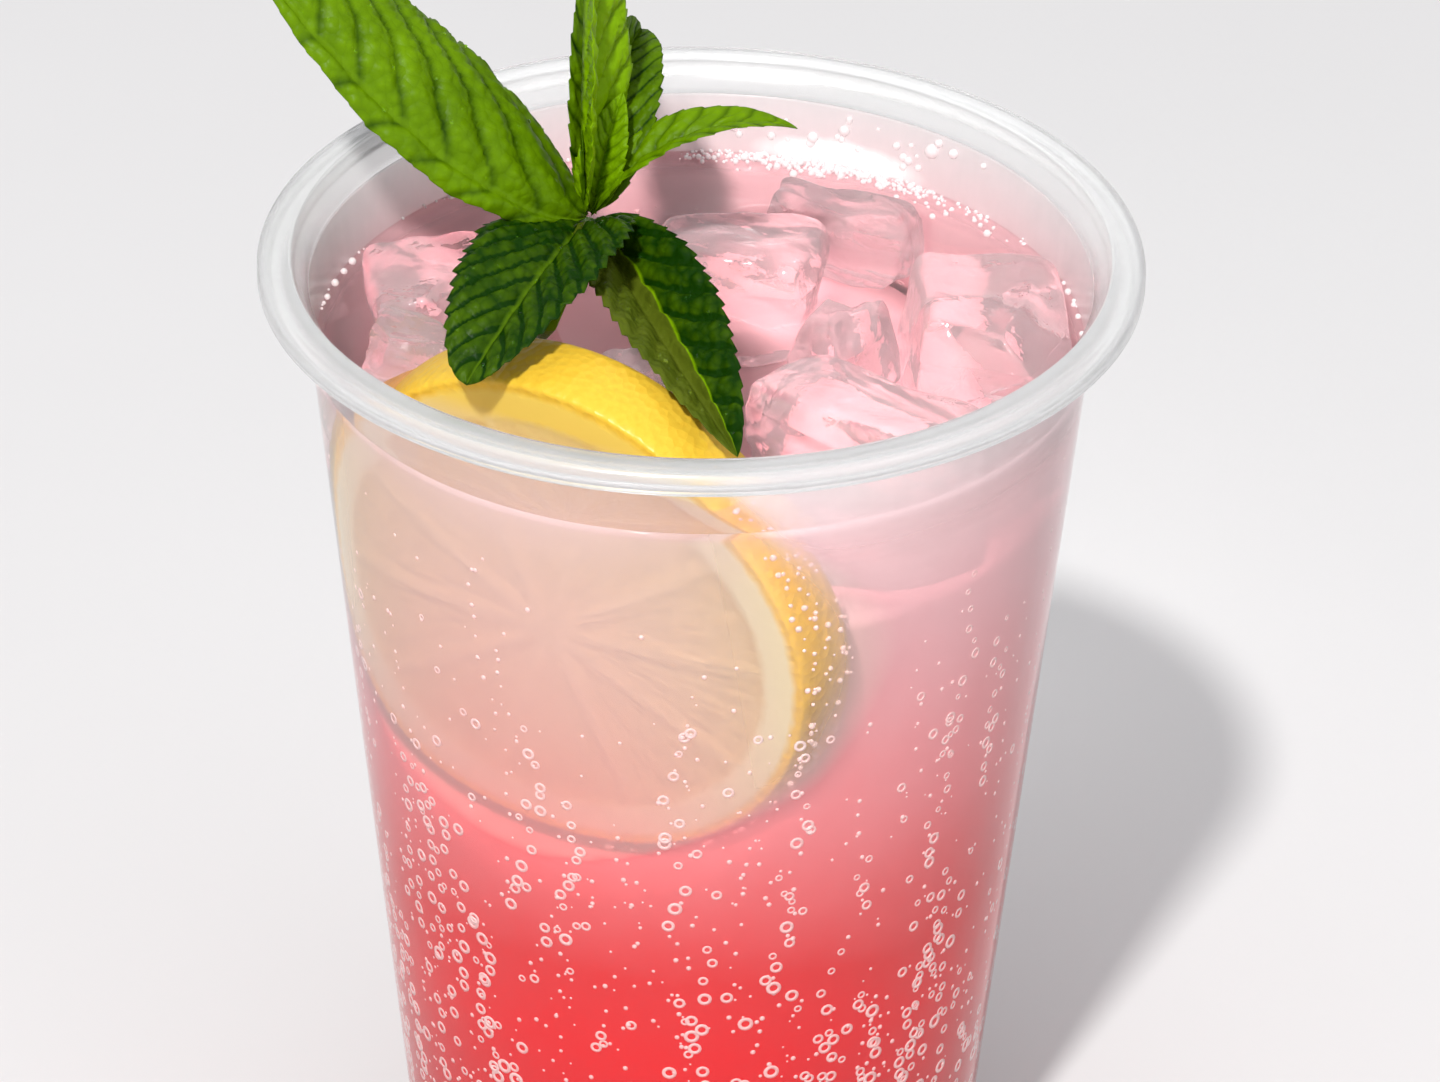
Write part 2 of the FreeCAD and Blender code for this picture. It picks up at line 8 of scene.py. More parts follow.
import bpy
import numpy as np
from mathutils import Matrix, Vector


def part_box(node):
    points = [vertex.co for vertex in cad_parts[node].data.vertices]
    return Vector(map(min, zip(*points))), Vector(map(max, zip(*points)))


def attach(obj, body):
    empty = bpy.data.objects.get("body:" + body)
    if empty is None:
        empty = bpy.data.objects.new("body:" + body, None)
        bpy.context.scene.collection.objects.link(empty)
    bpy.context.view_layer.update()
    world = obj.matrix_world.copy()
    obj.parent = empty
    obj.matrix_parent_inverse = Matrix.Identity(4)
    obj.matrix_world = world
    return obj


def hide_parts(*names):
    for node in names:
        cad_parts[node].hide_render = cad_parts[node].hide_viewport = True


bl_info = {
    "name": "Iced fruit drink",
    "version": (1, 0, 0),
    "blender": (4, 5, 0),
    "location": "View3D > Sidebar > Iced drink",
    "description": "Builds a sparkling fruit drink with ice, lemon and mint in a clear cup",
    "category": "Add Mesh",
}

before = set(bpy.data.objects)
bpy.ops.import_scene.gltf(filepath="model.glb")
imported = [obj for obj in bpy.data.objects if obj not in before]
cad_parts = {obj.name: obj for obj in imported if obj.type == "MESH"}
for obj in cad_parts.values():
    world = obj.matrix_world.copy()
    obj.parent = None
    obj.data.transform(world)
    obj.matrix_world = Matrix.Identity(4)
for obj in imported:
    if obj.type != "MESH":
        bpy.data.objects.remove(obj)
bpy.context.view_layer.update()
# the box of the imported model, taken before this script makes anything
MM = 0.001
RIM_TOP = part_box("cup")[1].z
RIM_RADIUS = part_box("cup")[1].x
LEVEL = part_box("drink")[1].z
# the wet film on the wall, from a little under the level to just under the rim
FILM_FOOT = LEVEL - 6.0 * MM
FILM_TOP = RIM_TOP - 3.6 * MM
# the cloudy middle: its top, and how far it keeps from the wall and the floor
CLOUD_TOP = LEVEL - 17.0 * MM
CLOUD_DEPTH = 8.0 * MM
# the pocket in the cloudy middle: room behind the wheel, reach past its edge and width of its slope
POCKET_ROOM = 0.6 * MM
POCKET_MARGIN = 2.0 * MM
POCKET_SLOPE = 1.3 * MM
# fall of a look from the front and above for each unit of depth, once it has bent in the drink
LOOK_FALL = 0.42
# how softly the clear part ends at the wheel's edge, and how much more softly beside it
CLEAR_EDGE = 0.6 * MM
CLEAR_EDGE_BESIDE = 4.0 * MM
# how far short of the wheel's lower left edge the clear part ends, and how softly
VEIL_WIDTH = 5.0 * MM
VEIL_SOFTNESS = 4.5 * MM
# the waves of the surface: share of the height, turn per metre along X and along Y, and phase
WAVES = ((0.34, 190, 60, 0.4), (0.26, -120, 230, 1.9), (0.14, 420, -250, 0.0), (0.10, 330, 510, 2.2))
WAVE_MM = 0.6
# how far from the wall the meniscus fades out, and the waves fade in
MENISCUS_REACH = 1.3 * MM
CALM_REACH = 4 * MM
# where a white highlight is painted on the film, and the froth gathers, in degrees from +X
PAINTED_GLARE_BEARING = 68.0
ICE_NODES = sorted(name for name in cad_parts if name.startswith("ice_"))


# ------------------------------------------------------------------ sizes a user sets

def length_prop(name, description, default_mm):
    """A size in metres, given here in millimetres."""
    return bpy.props.FloatProperty(
        name=name, description=description, default=default_mm * MM,
        unit="LENGTH", subtype="DISTANCE", precision=5,
    )


def colour_prop(name, description, default):
    """A colour in linear light."""
    return bpy.props.FloatVectorProperty(
        name=name, description=description, default=default,
        subtype="COLOR", size=3, min=0.0, max=1.0,
    )


def angle_prop(name, description, degrees):
    """An angle, given here in degrees."""
    return bpy.props.FloatProperty(
        name=name, description=description, default=math.radians(degrees), subtype="ANGLE")


def number_prop(name, description, default):
    """A plain number."""
    return bpy.props.FloatProperty(name=name, description=description, default=default)


class CupSizes(bpy.types.PropertyGroup):
    """Wall, rim and foot of the cup."""

    wall: length_prop("Wall", "Thickness of the wall", 0.6)
    wall_top_radius: length_prop("Wall radius", "Outside radius of the wall at the rim's height", 44.35)
    base_radius: length_prop("Base radius", "Outside radius at the foot", 32.2)
    rim_inside: length_prop("Rim inside", "Radius of the rim's upper inner edge", 45.15)
    rim_rise: length_prop("Rim rise", "Height from the wall's end to the rim's top", 3.3)
    rim_depth: length_prop("Rim depth", "Height of the rolled edge", 2.9)
    rim_round: length_prop("Rim round", "Radius of the rim's outer shoulder", 1.2)
    hem: length_prop("Hem", "How far the rolled edge turns back in", 1.7)
    foot_width: length_prop("Foot width", "Width of the ring the cup stands on", 3.2)
    foot_round: length_prop("Foot round", "Radius of the foot's outer edge", 1.0)
    shoulder: length_prop("Foot shoulder", "Slope between the foot and the raised panel", 2.4)
    push_up: length_prop("Push-up", "Height of the raised base panel", 2.2)


class DrinkLooks(bpy.types.PropertyGroup):
    """Colours of the drink, from the surface down to the floor."""

    top: colour_prop("Top", "Colour just under the surface", (0.91, 0.65, 0.67))
    upper: colour_prop("Upper", "Colour a sixth of the way down", (0.91, 0.53, 0.56))
    middle: colour_prop("Middle", "Colour above half height", (0.89, 0.27, 0.29))
    low: colour_prop("Low", "Colour below half height", (0.80, 0.03, 0.036))
    deep: colour_prop("Deep", "Colour a little over a third of the way up", (0.86, 0.006, 0.014))
    bottom: colour_prop("Bottom", "Colour at the floor", (0.62, 0.004, 0.012))
    surface_clear: number_prop("Surface clearness", "Share of light that passes the surface", 0.92)
    deep_clear: number_prop("Side clearness", "Share of light that passes the sides", 0.16)
    into_wall: length_prop("Into wall", "How far the drink reaches into the wall", 0.08)
    meniscus: length_prop("Meniscus", "Rise of the drink at the wall", 0.2)


class LemonSizes(bpy.types.PropertyGroup):
    """The lemon wheel and how it leans on the wall."""

    radius: length_prop("Radius", "Radius over the rind", 30.5)
    thickness: length_prop("Thickness", "Thickness of the wheel", 8.5)
    edge_fall: length_prop("Edge fall", "How much smaller the cut faces are than the rind", 1.0)
    rind: length_prop("Rind", "Width of rind and pith", 5.8)
    wall_gap: length_prop("Wall gap", "Least room to the inside of the wall", 0.4)
    below_rim: length_prop("Below rim", "Depth of the wheel's middle under the rim", 31.0)
    bearing: angle_prop("Bearing", "How far left of the front it faces", 31.0)
    lean: angle_prop("Lean", "How far its face looks down", 10.0)
    segments: bpy.props.IntProperty(name="Segments", description="Flesh segments", default=10)


# ------------------------------------------------------------------ mesh helpers

NO_TRIANGLES = np.zeros((0, 3), int)


def wall_rise(cup):
    """How much wider the wall's radius gets with each unit of height."""
    return (cup.wall_top_radius - cup.base_radius) / RIM_TOP


def full_turn(count):
    """Evenly spaced angles of a full turn."""
    return np.linspace(0, 2 * np.pi, count, endpoint=False)


def mesh_object(name, vertices, loops, starts, uv=None):
    """One mesh object from whole arrays: corners, face loops and where each face starts."""
    mesh = bpy.data.meshes.new(name)
    mesh.vertices.add(len(vertices))
    mesh.vertices.foreach_set("co", np.ascontiguousarray(vertices, np.float32).ravel())
    mesh.loops.add(len(loops))
    mesh.loops.foreach_set("vertex_index", np.ascontiguousarray(loops, np.int32))
    mesh.polygons.add(len(starts))
    mesh.polygons.foreach_set("loop_start", np.ascontiguousarray(starts, np.int32))
    if uv is not None:
        layer = mesh.uv_layers.new(name="UVMap")
        layer.data.foreach_set("uv", np.ascontiguousarray(uv[loops], np.float32).ravel())
    mesh.update(calc_edges=True)
    mesh.validate()
    mesh.shade_smooth()
    obj = bpy.data.objects.new(name, mesh)
    bpy.context.scene.collection.objects.link(obj)
    return obj


def store(obj, name, values):
    """Keeps one number for each point of a mesh, under a name that its material reads."""
    attribute = obj.data.attributes.new(name, "FLOAT", "POINT")
    attribute.data.foreach_set("value", np.asarray(values, np.float32))


def torus_quads(rows, columns):
    """Quads of a grid of points that closes on itself both ways."""
    i, j = np.meshgrid(np.arange(rows), np.arange(columns), indexing="ij")
    k, n = (i + 1) % rows, (j + 1) % columns
    quads = np.stack([i * columns + j, k * columns + j, k * columns + n, i * columns + n], -1)
    return quads.reshape(-1, 4)


def ring_faces(rings, around):
    """Quads between neighbouring rings of points, and fans to a middle point at both ends."""
    i, j = np.meshgrid(np.arange(rings - 1), np.arange(around), indexing="ij")
    k = (j + 1) % around
    quads = np.stack([i * around + j, i * around + k, (i + 1) * around + k, (i + 1) * around + j], -1)
    j = np.arange(around)
    k = (j + 1) % around
    first, last = rings * around, rings * around + 1
    end = (rings - 1) * around
    start_fan = np.stack([np.full(around, first), k, j], -1)
    end_fan = np.stack([np.full(around, last), end + j, end + k], -1)
    return quads.reshape(-1, 4), np.concatenate([start_fan, end_fan])


def pack_faces(quads, triangles=NO_TRIANGLES):
    """Loops and starts of quads followed by triangles."""
    loops = np.concatenate([quads.ravel(), triangles.ravel()])
    starts = np.concatenate([
        np.arange(len(quads)) * 4,
        len(quads) * 4 + np.arange(len(triangles)) * 3,
    ])
    return loops, starts


def with_end_points(rows):
    """What the points of stacked rings hold, then the mean of the first ring and of the last."""
    return np.concatenate([rows.reshape(-1, rows.shape[-1]), rows[:1].mean(1), rows[-1:].mean(1)])


def ring_solid(name, points, uv=None):
    """Closed shape from a stack of closed rings: points is rings x around x 3."""
    loops, starts = pack_faces(*ring_faces(*points.shape[:2]))
    uv = None if uv is None else with_end_points(uv)
    return mesh_object(name, with_end_points(points), loops, starts, uv)


def swept(profile, turn):
    """Points of a (radius, height) profile turned to each angle about Z: profile x angles x 3."""
    x, y = profile[:, :1] * np.cos(turn), profile[:, :1] * np.sin(turn)
    return np.stack([x, y, np.repeat(profile[:, 1:], len(turn), 1)], -1)


def turned_ring(name, profile, around):
    """Closed outline of (radius, height) points turned a full turn about Z."""
    points = swept(profile, full_turn(around)).transpose(1, 0, 2)
    loops, starts = pack_faces(torus_quads(around, len(profile)))
    return mesh_object(name, points.reshape(-1, 3), loops, starts)


def arc_points(centre, radius, start, end, count):
    """Points on an arc in the (radius, height) plane, from one angle to another in degrees."""
    turn = np.radians(np.linspace(start, end, count))
    return np.stack([centre[0] + radius * np.cos(turn), centre[1] + radius * np.sin(turn)], -1)


def finish_piece(obj, nodes, material, shadow=True):
    """Gives a piece its material, the nodes it stands for and the body it rides on."""
    obj.data.materials.append(material)
    obj.visible_shadow = shadow
    if nodes:
        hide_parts(*nodes)
    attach(obj, "root")


# ------------------------------------------------------------------ material helpers

class Graph:
    """Short way to write a material's node tree."""

    def __init__(self, name):
        self.material = bpy.data.materials.new(name)
        self.material.use_nodes = True
        self.tree = self.material.node_tree
        self.tree.nodes.clear()
        self.output = self.tree.nodes.new("ShaderNodeOutputMaterial")

    def node(self, kind, inputs=None, **settings):
        """A node with its settings, and inputs that are values or other sockets."""
        node = self.tree.nodes.new("ShaderNode" + kind)
        for key, value in settings.items():
            setattr(node, key, value)
        for key, value in (inputs or {}).items():
            self.put(node.inputs[key], value)
        return node

    def put(self, socket, value):
        """Links a socket to another one, or sets its value."""
        if isinstance(value, bpy.types.NodeSocket):
            self.tree.links.new(value, socket)
        elif socket.type == "RGBA" and len(value) == 3:
            socket.default_value = (*value, 1.0)
        else:
            socket.default_value = value

    def math(self, operation, first, second=0.0, third=0.0):
        """The result of one Math node."""
        node = self.node("Math", {0: first, 1: second, 2: third}, operation=operation)
        return node.outputs[0]

    def mix(self, share, first, second):
        """Two colours mixed by a share."""
        node = self.tree.nodes.new("ShaderNodeMix")
        node.data_type = "RGBA"
        self.put(node.inputs["Factor"], share)
        self.put(node.inputs["A"], first)
        self.put(node.inputs["B"], second)
        return node.outputs["Result"]

    def span(self, value, low, high, to_low=0.0, to_high=1.0):
        """A value carried from one range to another, held at both ends."""
        node = self.node("MapRange", {
            "Value": value, "From Min": low, "From Max": high, "To Min": to_low, "To Max": to_high})
        return node.outputs["Result"]

    def ramp(self, value, stops):
        """A colour ramp with (place, colour) stops."""
        node = self.node("ValToRGB", {"Fac": value})
        ramp = node.color_ramp
        while len(ramp.elements) > 1:
            ramp.elements.remove(ramp.elements[0])
        ramp.elements[0].position = stops[0][0]
        ramp.elements[0].color = (*stops[0][1], 1.0)
        for place, colour in stops[1:]:
            ramp.elements.new(place).color = (*colour, 1.0)
        return node.outputs["Color"]

    def object_point(self):
        """The point in the piece's own metres."""
        return self.node("TexCoord").outputs["Object"]

    def height(self):
        """How high the point is, in metres."""
        return self.node("SeparateXYZ", {0: self.object_point()}).outputs["Z"]

    def stored(self, name):
        """The number that the mesh keeps under a name."""
        return self.node("Attribute", attribute_name=name).outputs["Fac"]

    def noise(self, vector, scale, detail=3.0, roughness=0.55):
        """Noise value at a scale, in waves per metre."""
        node = self.node("TexNoise", {
            "Vector": vector, "Scale": scale, "Detail": detail, "Roughness": roughness})
        return node.outputs["Fac"]

    def bump(self, height, strength, distance):
        """A normal raised by a height."""
        node = self.node("Bump", {"Height": height, "Strength": strength, "Distance": distance})
        return node.outputs["Normal"]

    def skin(self, inputs):
        """The shader of one Principled node."""
        return self.node("BsdfPrincipled", inputs).outputs[0]

    def surface(self, socket):
        """Ends the tree in a shader."""
        self.tree.links.new(socket, self.output.inputs["Surface"])
        return self.material

    def lets_light_in(self, shader, tint, from_inside_only):
        """The shader as seen, and a tinted clear one for the light that shines through it."""
        share = self.node("LightPath").outputs["Is Shadow Ray"]
        if from_inside_only:
            inside = self.node("NewGeometry").outputs["Backfacing"]
            share = self.math("MULTIPLY", share, inside)
        clear = self.node("BsdfTransparent", {"Color": tint})
        mixed = self.node("MixShader", {0: share, 1: shader, 2: clear.outputs[0]})
        return mixed.outputs[0]


# ------------------------------------------------------------------ cup

def cup_profile(sizes):
    """Closed section of the cup: under the base, up the outside, round the rim and down inside."""
    rise = wall_rise(sizes)
    thin = sizes.wall
    rim = RIM_RADIUS
    junction = RIM_TOP - sizes.rim_rise
    foot_inside = sizes.base_radius - sizes.foot_width
    panel = foot_inside - sizes.shoulder
    hem_bottom = RIM_TOP - sizes.rim_depth
    foot = sizes.foot_round
    hub = 0.2 * MM

    def outer(height):
        """Outside radius of the wall, which grows evenly with the height."""
        return sizes.base_radius + rise * height

    def inner(height):
        """Inside radius of the wall: the outside one less the thickness."""
        return outer(height) - thin

    pieces = [
        [(hub, sizes.push_up), (panel, sizes.push_up), (foot_inside, 0.0)],
        arc_points((sizes.base_radius - foot, foot), foot, -90, 0, 8),
        [(outer(junction * share), junction * share) for share in np.linspace(0.02, 1, 40)],
        [(sizes.rim_inside + 0.5 * thin, RIM_TOP - thin)],
        arc_points((rim - sizes.rim_round, RIM_TOP - sizes.rim_round), sizes.rim_round - thin, 90, 0, 8),
        [(rim - thin, hem_bottom + thin), (rim - sizes.hem, hem_bottom + thin)],
        [(rim - sizes.hem, hem_bottom)],
        arc_points((rim - thin, hem_bottom + thin), thin, -90, 0, 6),
        arc_points((rim - sizes.rim_round, RIM_TOP - sizes.rim_round), sizes.rim_round, 0, 90, 12),
        arc_points((sizes.rim_inside + 0.5 * MM, RIM_TOP - 0.5 * MM), 0.5 * MM, 90, 170, 7),
        [(inner(junction), junction)],
        [(inner(height), height) for height in np.linspace(junction * 0.98, foot + thin, 40)],
        arc_points((inner(0) - foot, thin + foot), foot, -10, -90, 7),
        [(foot_inside + 0.5 * thin, thin), (panel + 0.5 * thin, sizes.push_up + thin)],
        [(hub, sizes.push_up + thin)],
    ]
    return np.concatenate([np.asarray(piece, float) for piece in pieces])


def cup_material():
    """Clear moulded plastic with a milky haze, frosted where it is rolled into the rim."""
    graph = Graph("clear_moulded_plastic")
    point = graph.object_point()
    rim_share = graph.span(graph.height(), RIM_TOP - 3.8 * MM, RIM_TOP - 3.0 * MM)
    haze = graph.noise(point, 900.0, 2.0)
    rough = graph.math("MULTIPLY_ADD", haze, 0.06, 0.04)
    rough = graph.math("MULTIPLY_ADD", rim_share, 0.14, rough)
    clear = graph.math("MULTIPLY_ADD", rim_share, -0.24, 1.0)
    stretched = graph.node("Mapping", {"Vector": point, "Scale": (60.0, 60.0, 14.0)}).outputs[0]
    flow = graph.noise(stretched, 3.0, 2.0)
    return graph.surface(graph.skin({
        "Base Color": (0.91, 0.915, 0.92), "Roughness": rough, "IOR": 1.46, "Specular IOR Level": 0.32,
        "Transmission Weight": clear, "Normal": graph.bump(flow, 0.10, 0.6 * MM)}))


class DRINK_OT_cup(bpy.types.Operator):
    """Thin clear cup turned from its section, with a foot ring and a rolled rim"""

    bl_idname = "drink.cup"
    bl_label = "Cup"

    def execute(self, context):
        profile = cup_profile(context.scene.drink_cup)
        cup = turned_ring("cup_wall", profile, 256)
        finish_piece(cup, ["cup"], cup_material(), shadow=False)
        return {"FINISHED"}


# ------------------------------------------------------------------ drink

def drink_colour(graph, looks, height):
    """Colour by height, from red at the floor to pale pink at the level, with a cloudy drift."""
    cloud = graph.noise(graph.object_point(), 45.0, 3.0)
    drift = graph.math("MULTIPLY_ADD", cloud, 0.10, -0.05)
    share = graph.math("ADD", graph.span(height, 0.0, LEVEL), drift)
    return graph.ramp(share, [
        (0.0, tuple(looks.bottom)), (0.36, tuple(looks.deep)), (0.45, tuple(looks.low)),
        (0.62, tuple(looks.middle)), (0.84, tuple(looks.upper)), (1.0, tuple(looks.top))])


def drink_material(looks):
    """Cloudy sparkling drink: its colour deepens to the floor, and it is clear only in a thin film."""
    graph = Graph("sparkling_drink")
    height = graph.height()
    colour = drink_colour(graph, looks, height)
    film = graph.stored("film")
    thin = graph.span(film, 0.30, 0.85)
    colour = graph.mix(thin, colour, (1.0, 0.945, 0.85))
    on_top = graph.span(height, LEVEL - 1.2 * MM, LEVEL - 0.5 * MM)
    colour = graph.mix(on_top, colour, (0.98, 0.78, 0.81))
    liquid = graph.skin({
        "Base Color": colour, "Roughness": 0.04, "IOR": 1.333, "Specular IOR Level": 0.25,
        "Transmission Weight": film})
    tint = graph.mix(0.5, colour, (1.0, 1.0, 1.0))
    return graph.surface(graph.lets_light_in(liquid, tint, from_inside_only=True))


def cloud_material(looks):
    """The cloudy middle of the drink, as its colour shows through the clear parts."""
    graph = Graph("cloudy_middle")
    colour = drink_colour(graph, looks, graph.height())
    return graph.surface(graph.skin({"Base Color": colour, "Roughness": 0.6}))


def cloudy_middle(cup, lemon):
    """A round core well inside the wall, with a flat-bottomed pocket for the lemon wheel.

    Its side runs parallel to the wall. Points in front of a plane just behind the wheel are
    pushed back to it, less and less past the wheel's edge.
    """
    height = np.linspace(CLOUD_DEPTH, CLOUD_TOP, 80)
    side = np.stack([cup.base_radius - CLOUD_DEPTH + wall_rise(cup) * height, height], -1)
    start = [(0.5 * MM, height[0]), (side[0, 0] * 0.6, height[0])]
    end = [(side[-1, 0] * share, CLOUD_TOP) for share in (0.9, 0.7, 0.45, 0.02)]
    points = swept(np.concatenate([start, side, end]), full_turn(180))
    centre, across, downward, look = lemon_frame(lemon, cup)
    away = points - centre
    over = np.maximum(away @ look + lemon.thickness / 2 + POCKET_ROOM, 0)
    past = np.hypot(away @ across, away @ downward) - lemon.radius
    over = over * np.clip((POCKET_MARGIN - past) / POCKET_SLOPE, 0, 1)
    return ring_solid("cloudy_middle", points - over[..., None] * look)


def film_clearness(points, lemon, cup, spill, fade):
    """How clear the drink looks at each point: clear where the lemon lies close behind it.

    Clearness falls off exponentially with the depth in front of the wheel's face, over
    the length fade, and quickly past the wheel's edge, but more slowly beside it, where
    its peel turns away from the wall. Above the wheel it spills further by the length
    spill, and at the wheel's lower left it ends short and softly, where the drink between
    wheel and wall hides it. The depth is judged along a line that slopes down towards the
    wheel, which is how a look from the front and above runs in the drink.
    """
    centre, across, downward, look = lemon_frame(lemon, cup)
    away = points - centre
    front = np.maximum(away @ look - lemon.thickness / 2, 0)
    beside, below = away @ across, away @ downward + LOOK_FALL * front
    far = np.maximum(np.hypot(beside, below), 1e-6)
    veiled = np.clip(0.15 - beside / far, 0, 1) * np.clip(0.35 + below / far, 0, 1)
    past = far - lemon.radius - spill * np.clip(-below / far, -0.2, 1) + VEIL_WIDTH * veiled
    past = np.maximum(past, 0)
    soft = CLEAR_EDGE + CLEAR_EDGE_BESIDE * (beside / far) ** 4 * (1 - veiled) + VEIL_SOFTNESS * veiled
    return np.exp(-front / fade) * np.exp(-(past / soft) ** 2) * (away @ look > -0.02)


def ripple(x, y):
    """Height of the surface: the sum of two long crossing waves and two short ones."""
    waves = sum(share * np.sin(along * x + aside * y + phase) for share, along, aside, phase in WAVES)
    return waves * MM * WAVE_MM


def drink_profile(cup, looks):
    """Section of the drink: along the floor, up the side, over the meniscus and in along the level.

    Returns the profile, how many of its points lie below the surface, and the level's radius.
    """
    rise = wall_rise(cup)
    inside = cup.base_radius - cup.wall + looks.into_wall
    foot_inside = cup.base_radius - cup.foot_width
    floor = cup.push_up + cup.wall - looks.into_wall
    low = cup.wall - looks.into_wall
    brim = LEVEL + looks.meniscus
    hub = 0.3 * MM
    outline = [(hub, floor), (foot_inside - cup.shoulder, floor), (foot_inside, low)]
    outline += [(inside - cup.foot_round, low)]
    outline += [(inside + rise * z, z) for z in np.linspace(cup.foot_round, brim, 110)]
    edge = inside + rise * LEVEL
    sink = np.linspace(0.05, 5.0, 26) * MM
    curve = [(edge - s, LEVEL + looks.meniscus * math.exp(-s / MENISCUS_REACH)) for s in sink]
    flat = [(r, LEVEL) for r in np.linspace(edge - 6 * MM, hub, 60)]
    return np.array(outline + curve + flat), len(outline), edge


class DRINK_OT_drink(bpy.types.Operator):
    """Drink from the cup's floor to its level, just into the wall, with a meniscus"""

    bl_idname = "drink.drink"
    bl_label = "Drink"

    def execute(self, context):
        cup, looks = context.scene.drink_cup, context.scene.drink_looks
        lemon = context.scene.drink_lemon
        profile, below_surface, edge = drink_profile(cup, looks)
        points = swept(profile, full_turn(360))
        on_top = (np.arange(len(profile)) >= below_surface)[:, None]
        calm = np.clip((edge - profile[:, :1]) / CALM_REACH, 0, 1)
        points[..., 2] += np.where(on_top, ripple(points[..., 0], points[..., 1]) * calm, 0.0)
        drink = ring_solid("drink_body", points)
        near = film_clearness(points, lemon, cup, spill=4 * MM, fade=15 * MM)
        side_clear = looks.deep_clear + (0.95 - looks.deep_clear) * near
        clear = np.where(on_top, looks.surface_clear, side_clear)
        store(drink, "film", np.append(clear.ravel(), [0.2, looks.surface_clear]))
        finish_piece(drink, ["drink"], drink_material(looks))
        finish_piece(cloudy_middle(cup, lemon), [], cloud_material(looks))
        return {"FINISHED"}


# ------------------------------------------------------------------ lemon

def lemon_frame(sizes, cup):
    """Middle and three directions of the lemon wheel: across, down the face, and the way it looks.

    The wheel stands as far out along its bearing as its edges can go without touching the wall.
    """
    b, lean = sizes.bearing, sizes.lean
    look = np.array([-math.sin(b) * math.cos(lean), -math.cos(b) * math.cos(lean), -math.sin(lean)])
    across = np.array([math.cos(b), -math.sin(b), 0.0])
    downward = -np.cross(look, across)
    outward = np.array([-math.sin(b), -math.cos(b), 0.0])
    middle_height = RIM_TOP - sizes.below_rim
    turn = np.radians(np.arange(0, 360, 5))[:, None]
    cut = sizes.radius - sizes.edge_fall
    reach = RIM_RADIUS
    for face, ring in ((0.5, cut), (0.0, sizes.radius), (-0.5, cut)):
        point = across * (ring * np.cos(turn)) + downward * (ring * np.sin(turn))
        point = point + look * (face * sizes.thickness)
        height = middle_height + point[:, 2]
        wall = cup.base_radius + wall_rise(cup) * height - cup.wall - sizes.wall_gap
        room = np.sqrt(np.maximum(wall ** 2 - (point @ across) ** 2, 0)) - point @ outward
        reach = min(reach, room.min())
    centre = outward * reach + np.array([0.0, 0.0, middle_height])
    return centre, across, downward, look


def lemon_material(sizes):
    """Peel with pores, pith, and juicy flesh between pale membranes."""
    graph = Graph("lemon_cut_face")
    uv = graph.node("UVMap").outputs[0]
    parts = graph.node("SeparateXYZ", {0: uv})
    turn, reach = parts.outputs["X"], parts.outputs["Y"]
    flesh_edge = 1.0 - sizes.rind / sizes.radius
    wobble = graph.noise(graph.object_point(), 700.0, 2.0)
    reach = graph.math("MULTIPLY_ADD", graph.math("SUBTRACT", wobble, 0.5), 0.03, reach)
    sector = graph.math("MULTIPLY", turn, float(sizes.segments))
    from_wall = graph.math("ABSOLUTE", graph.math("SUBTRACT", graph.math("FRACT", sector), 0.5))
    from_wall = graph.math("SUBTRACT", 0.5, from_wall)
    arc = graph.math("MULTIPLY", graph.math("MULTIPLY", from_wall, reach), 2 * math.pi / sizes.segments)
    membrane = graph.span(arc, 0.010, 0.028, 1.0, 0.0)
    core = graph.span(reach, 0.06, 0.10, 1.0, 0.0)
    pith = graph.span(reach, flesh_edge - 0.015, flesh_edge + 0.02)
    peel = graph.span(reach, 0.925, 0.955)
    cells = graph.node("TexVoronoi", {
        "Vector": graph.node("CombineXYZ", {
            0: graph.math("MULTIPLY", turn, 90.0), 1: graph.math("MULTIPLY", reach, 9.0)}).outputs[0],
        "Scale": 1.0}, feature="F1")
    dry = graph.span(graph.height(), LEVEL - 2 * MM, LEVEL + 4 * MM)
    juice = graph.mix(cells.outputs["Distance"], (0.70, 0.45, 0.21), (0.73, 0.49, 0.24))
    juice = graph.mix(dry, juice, (0.97, 0.78, 0.26))
    white = graph.mix(dry, (0.76, 0.52, 0.27), (0.97, 0.80, 0.30))
    colour = graph.mix(membrane, juice, white)
    colour = graph.mix(core, colour, white)
    colour = graph.mix(pith, colour, graph.mix(dry, (0.84, 0.70, 0.46), (0.96, 0.70, 0.12)))
    pores = graph.noise(graph.object_point(), 1400.0, 2.0)
    wet = graph.mix(pores, (0.82, 0.42, 0.02), (0.90, 0.53, 0.03))
    yellow = graph.mix(dry, wet, graph.mix(pores, (0.86, 0.50, 0.03), (0.94, 0.64, 0.06)))
    colour = graph.mix(peel, colour, yellow)
    bump_height = graph.math("MULTIPLY", cells.outputs["Distance"], graph.math("SUBTRACT", 1.0, pith))
    dents = graph.math("MULTIPLY", graph.node("TexVoronoi", {
        "Vector": graph.object_point(), "Scale": 900.0}).outputs["Distance"], peel)
    bump = graph.bump(graph.math("ADD", bump_height, dents), 0.35, 0.4 * MM)
    return graph.surface(graph.skin({
        "Base Color": colour, "Roughness": 0.35, "IOR": 1.4, "Normal": bump}))


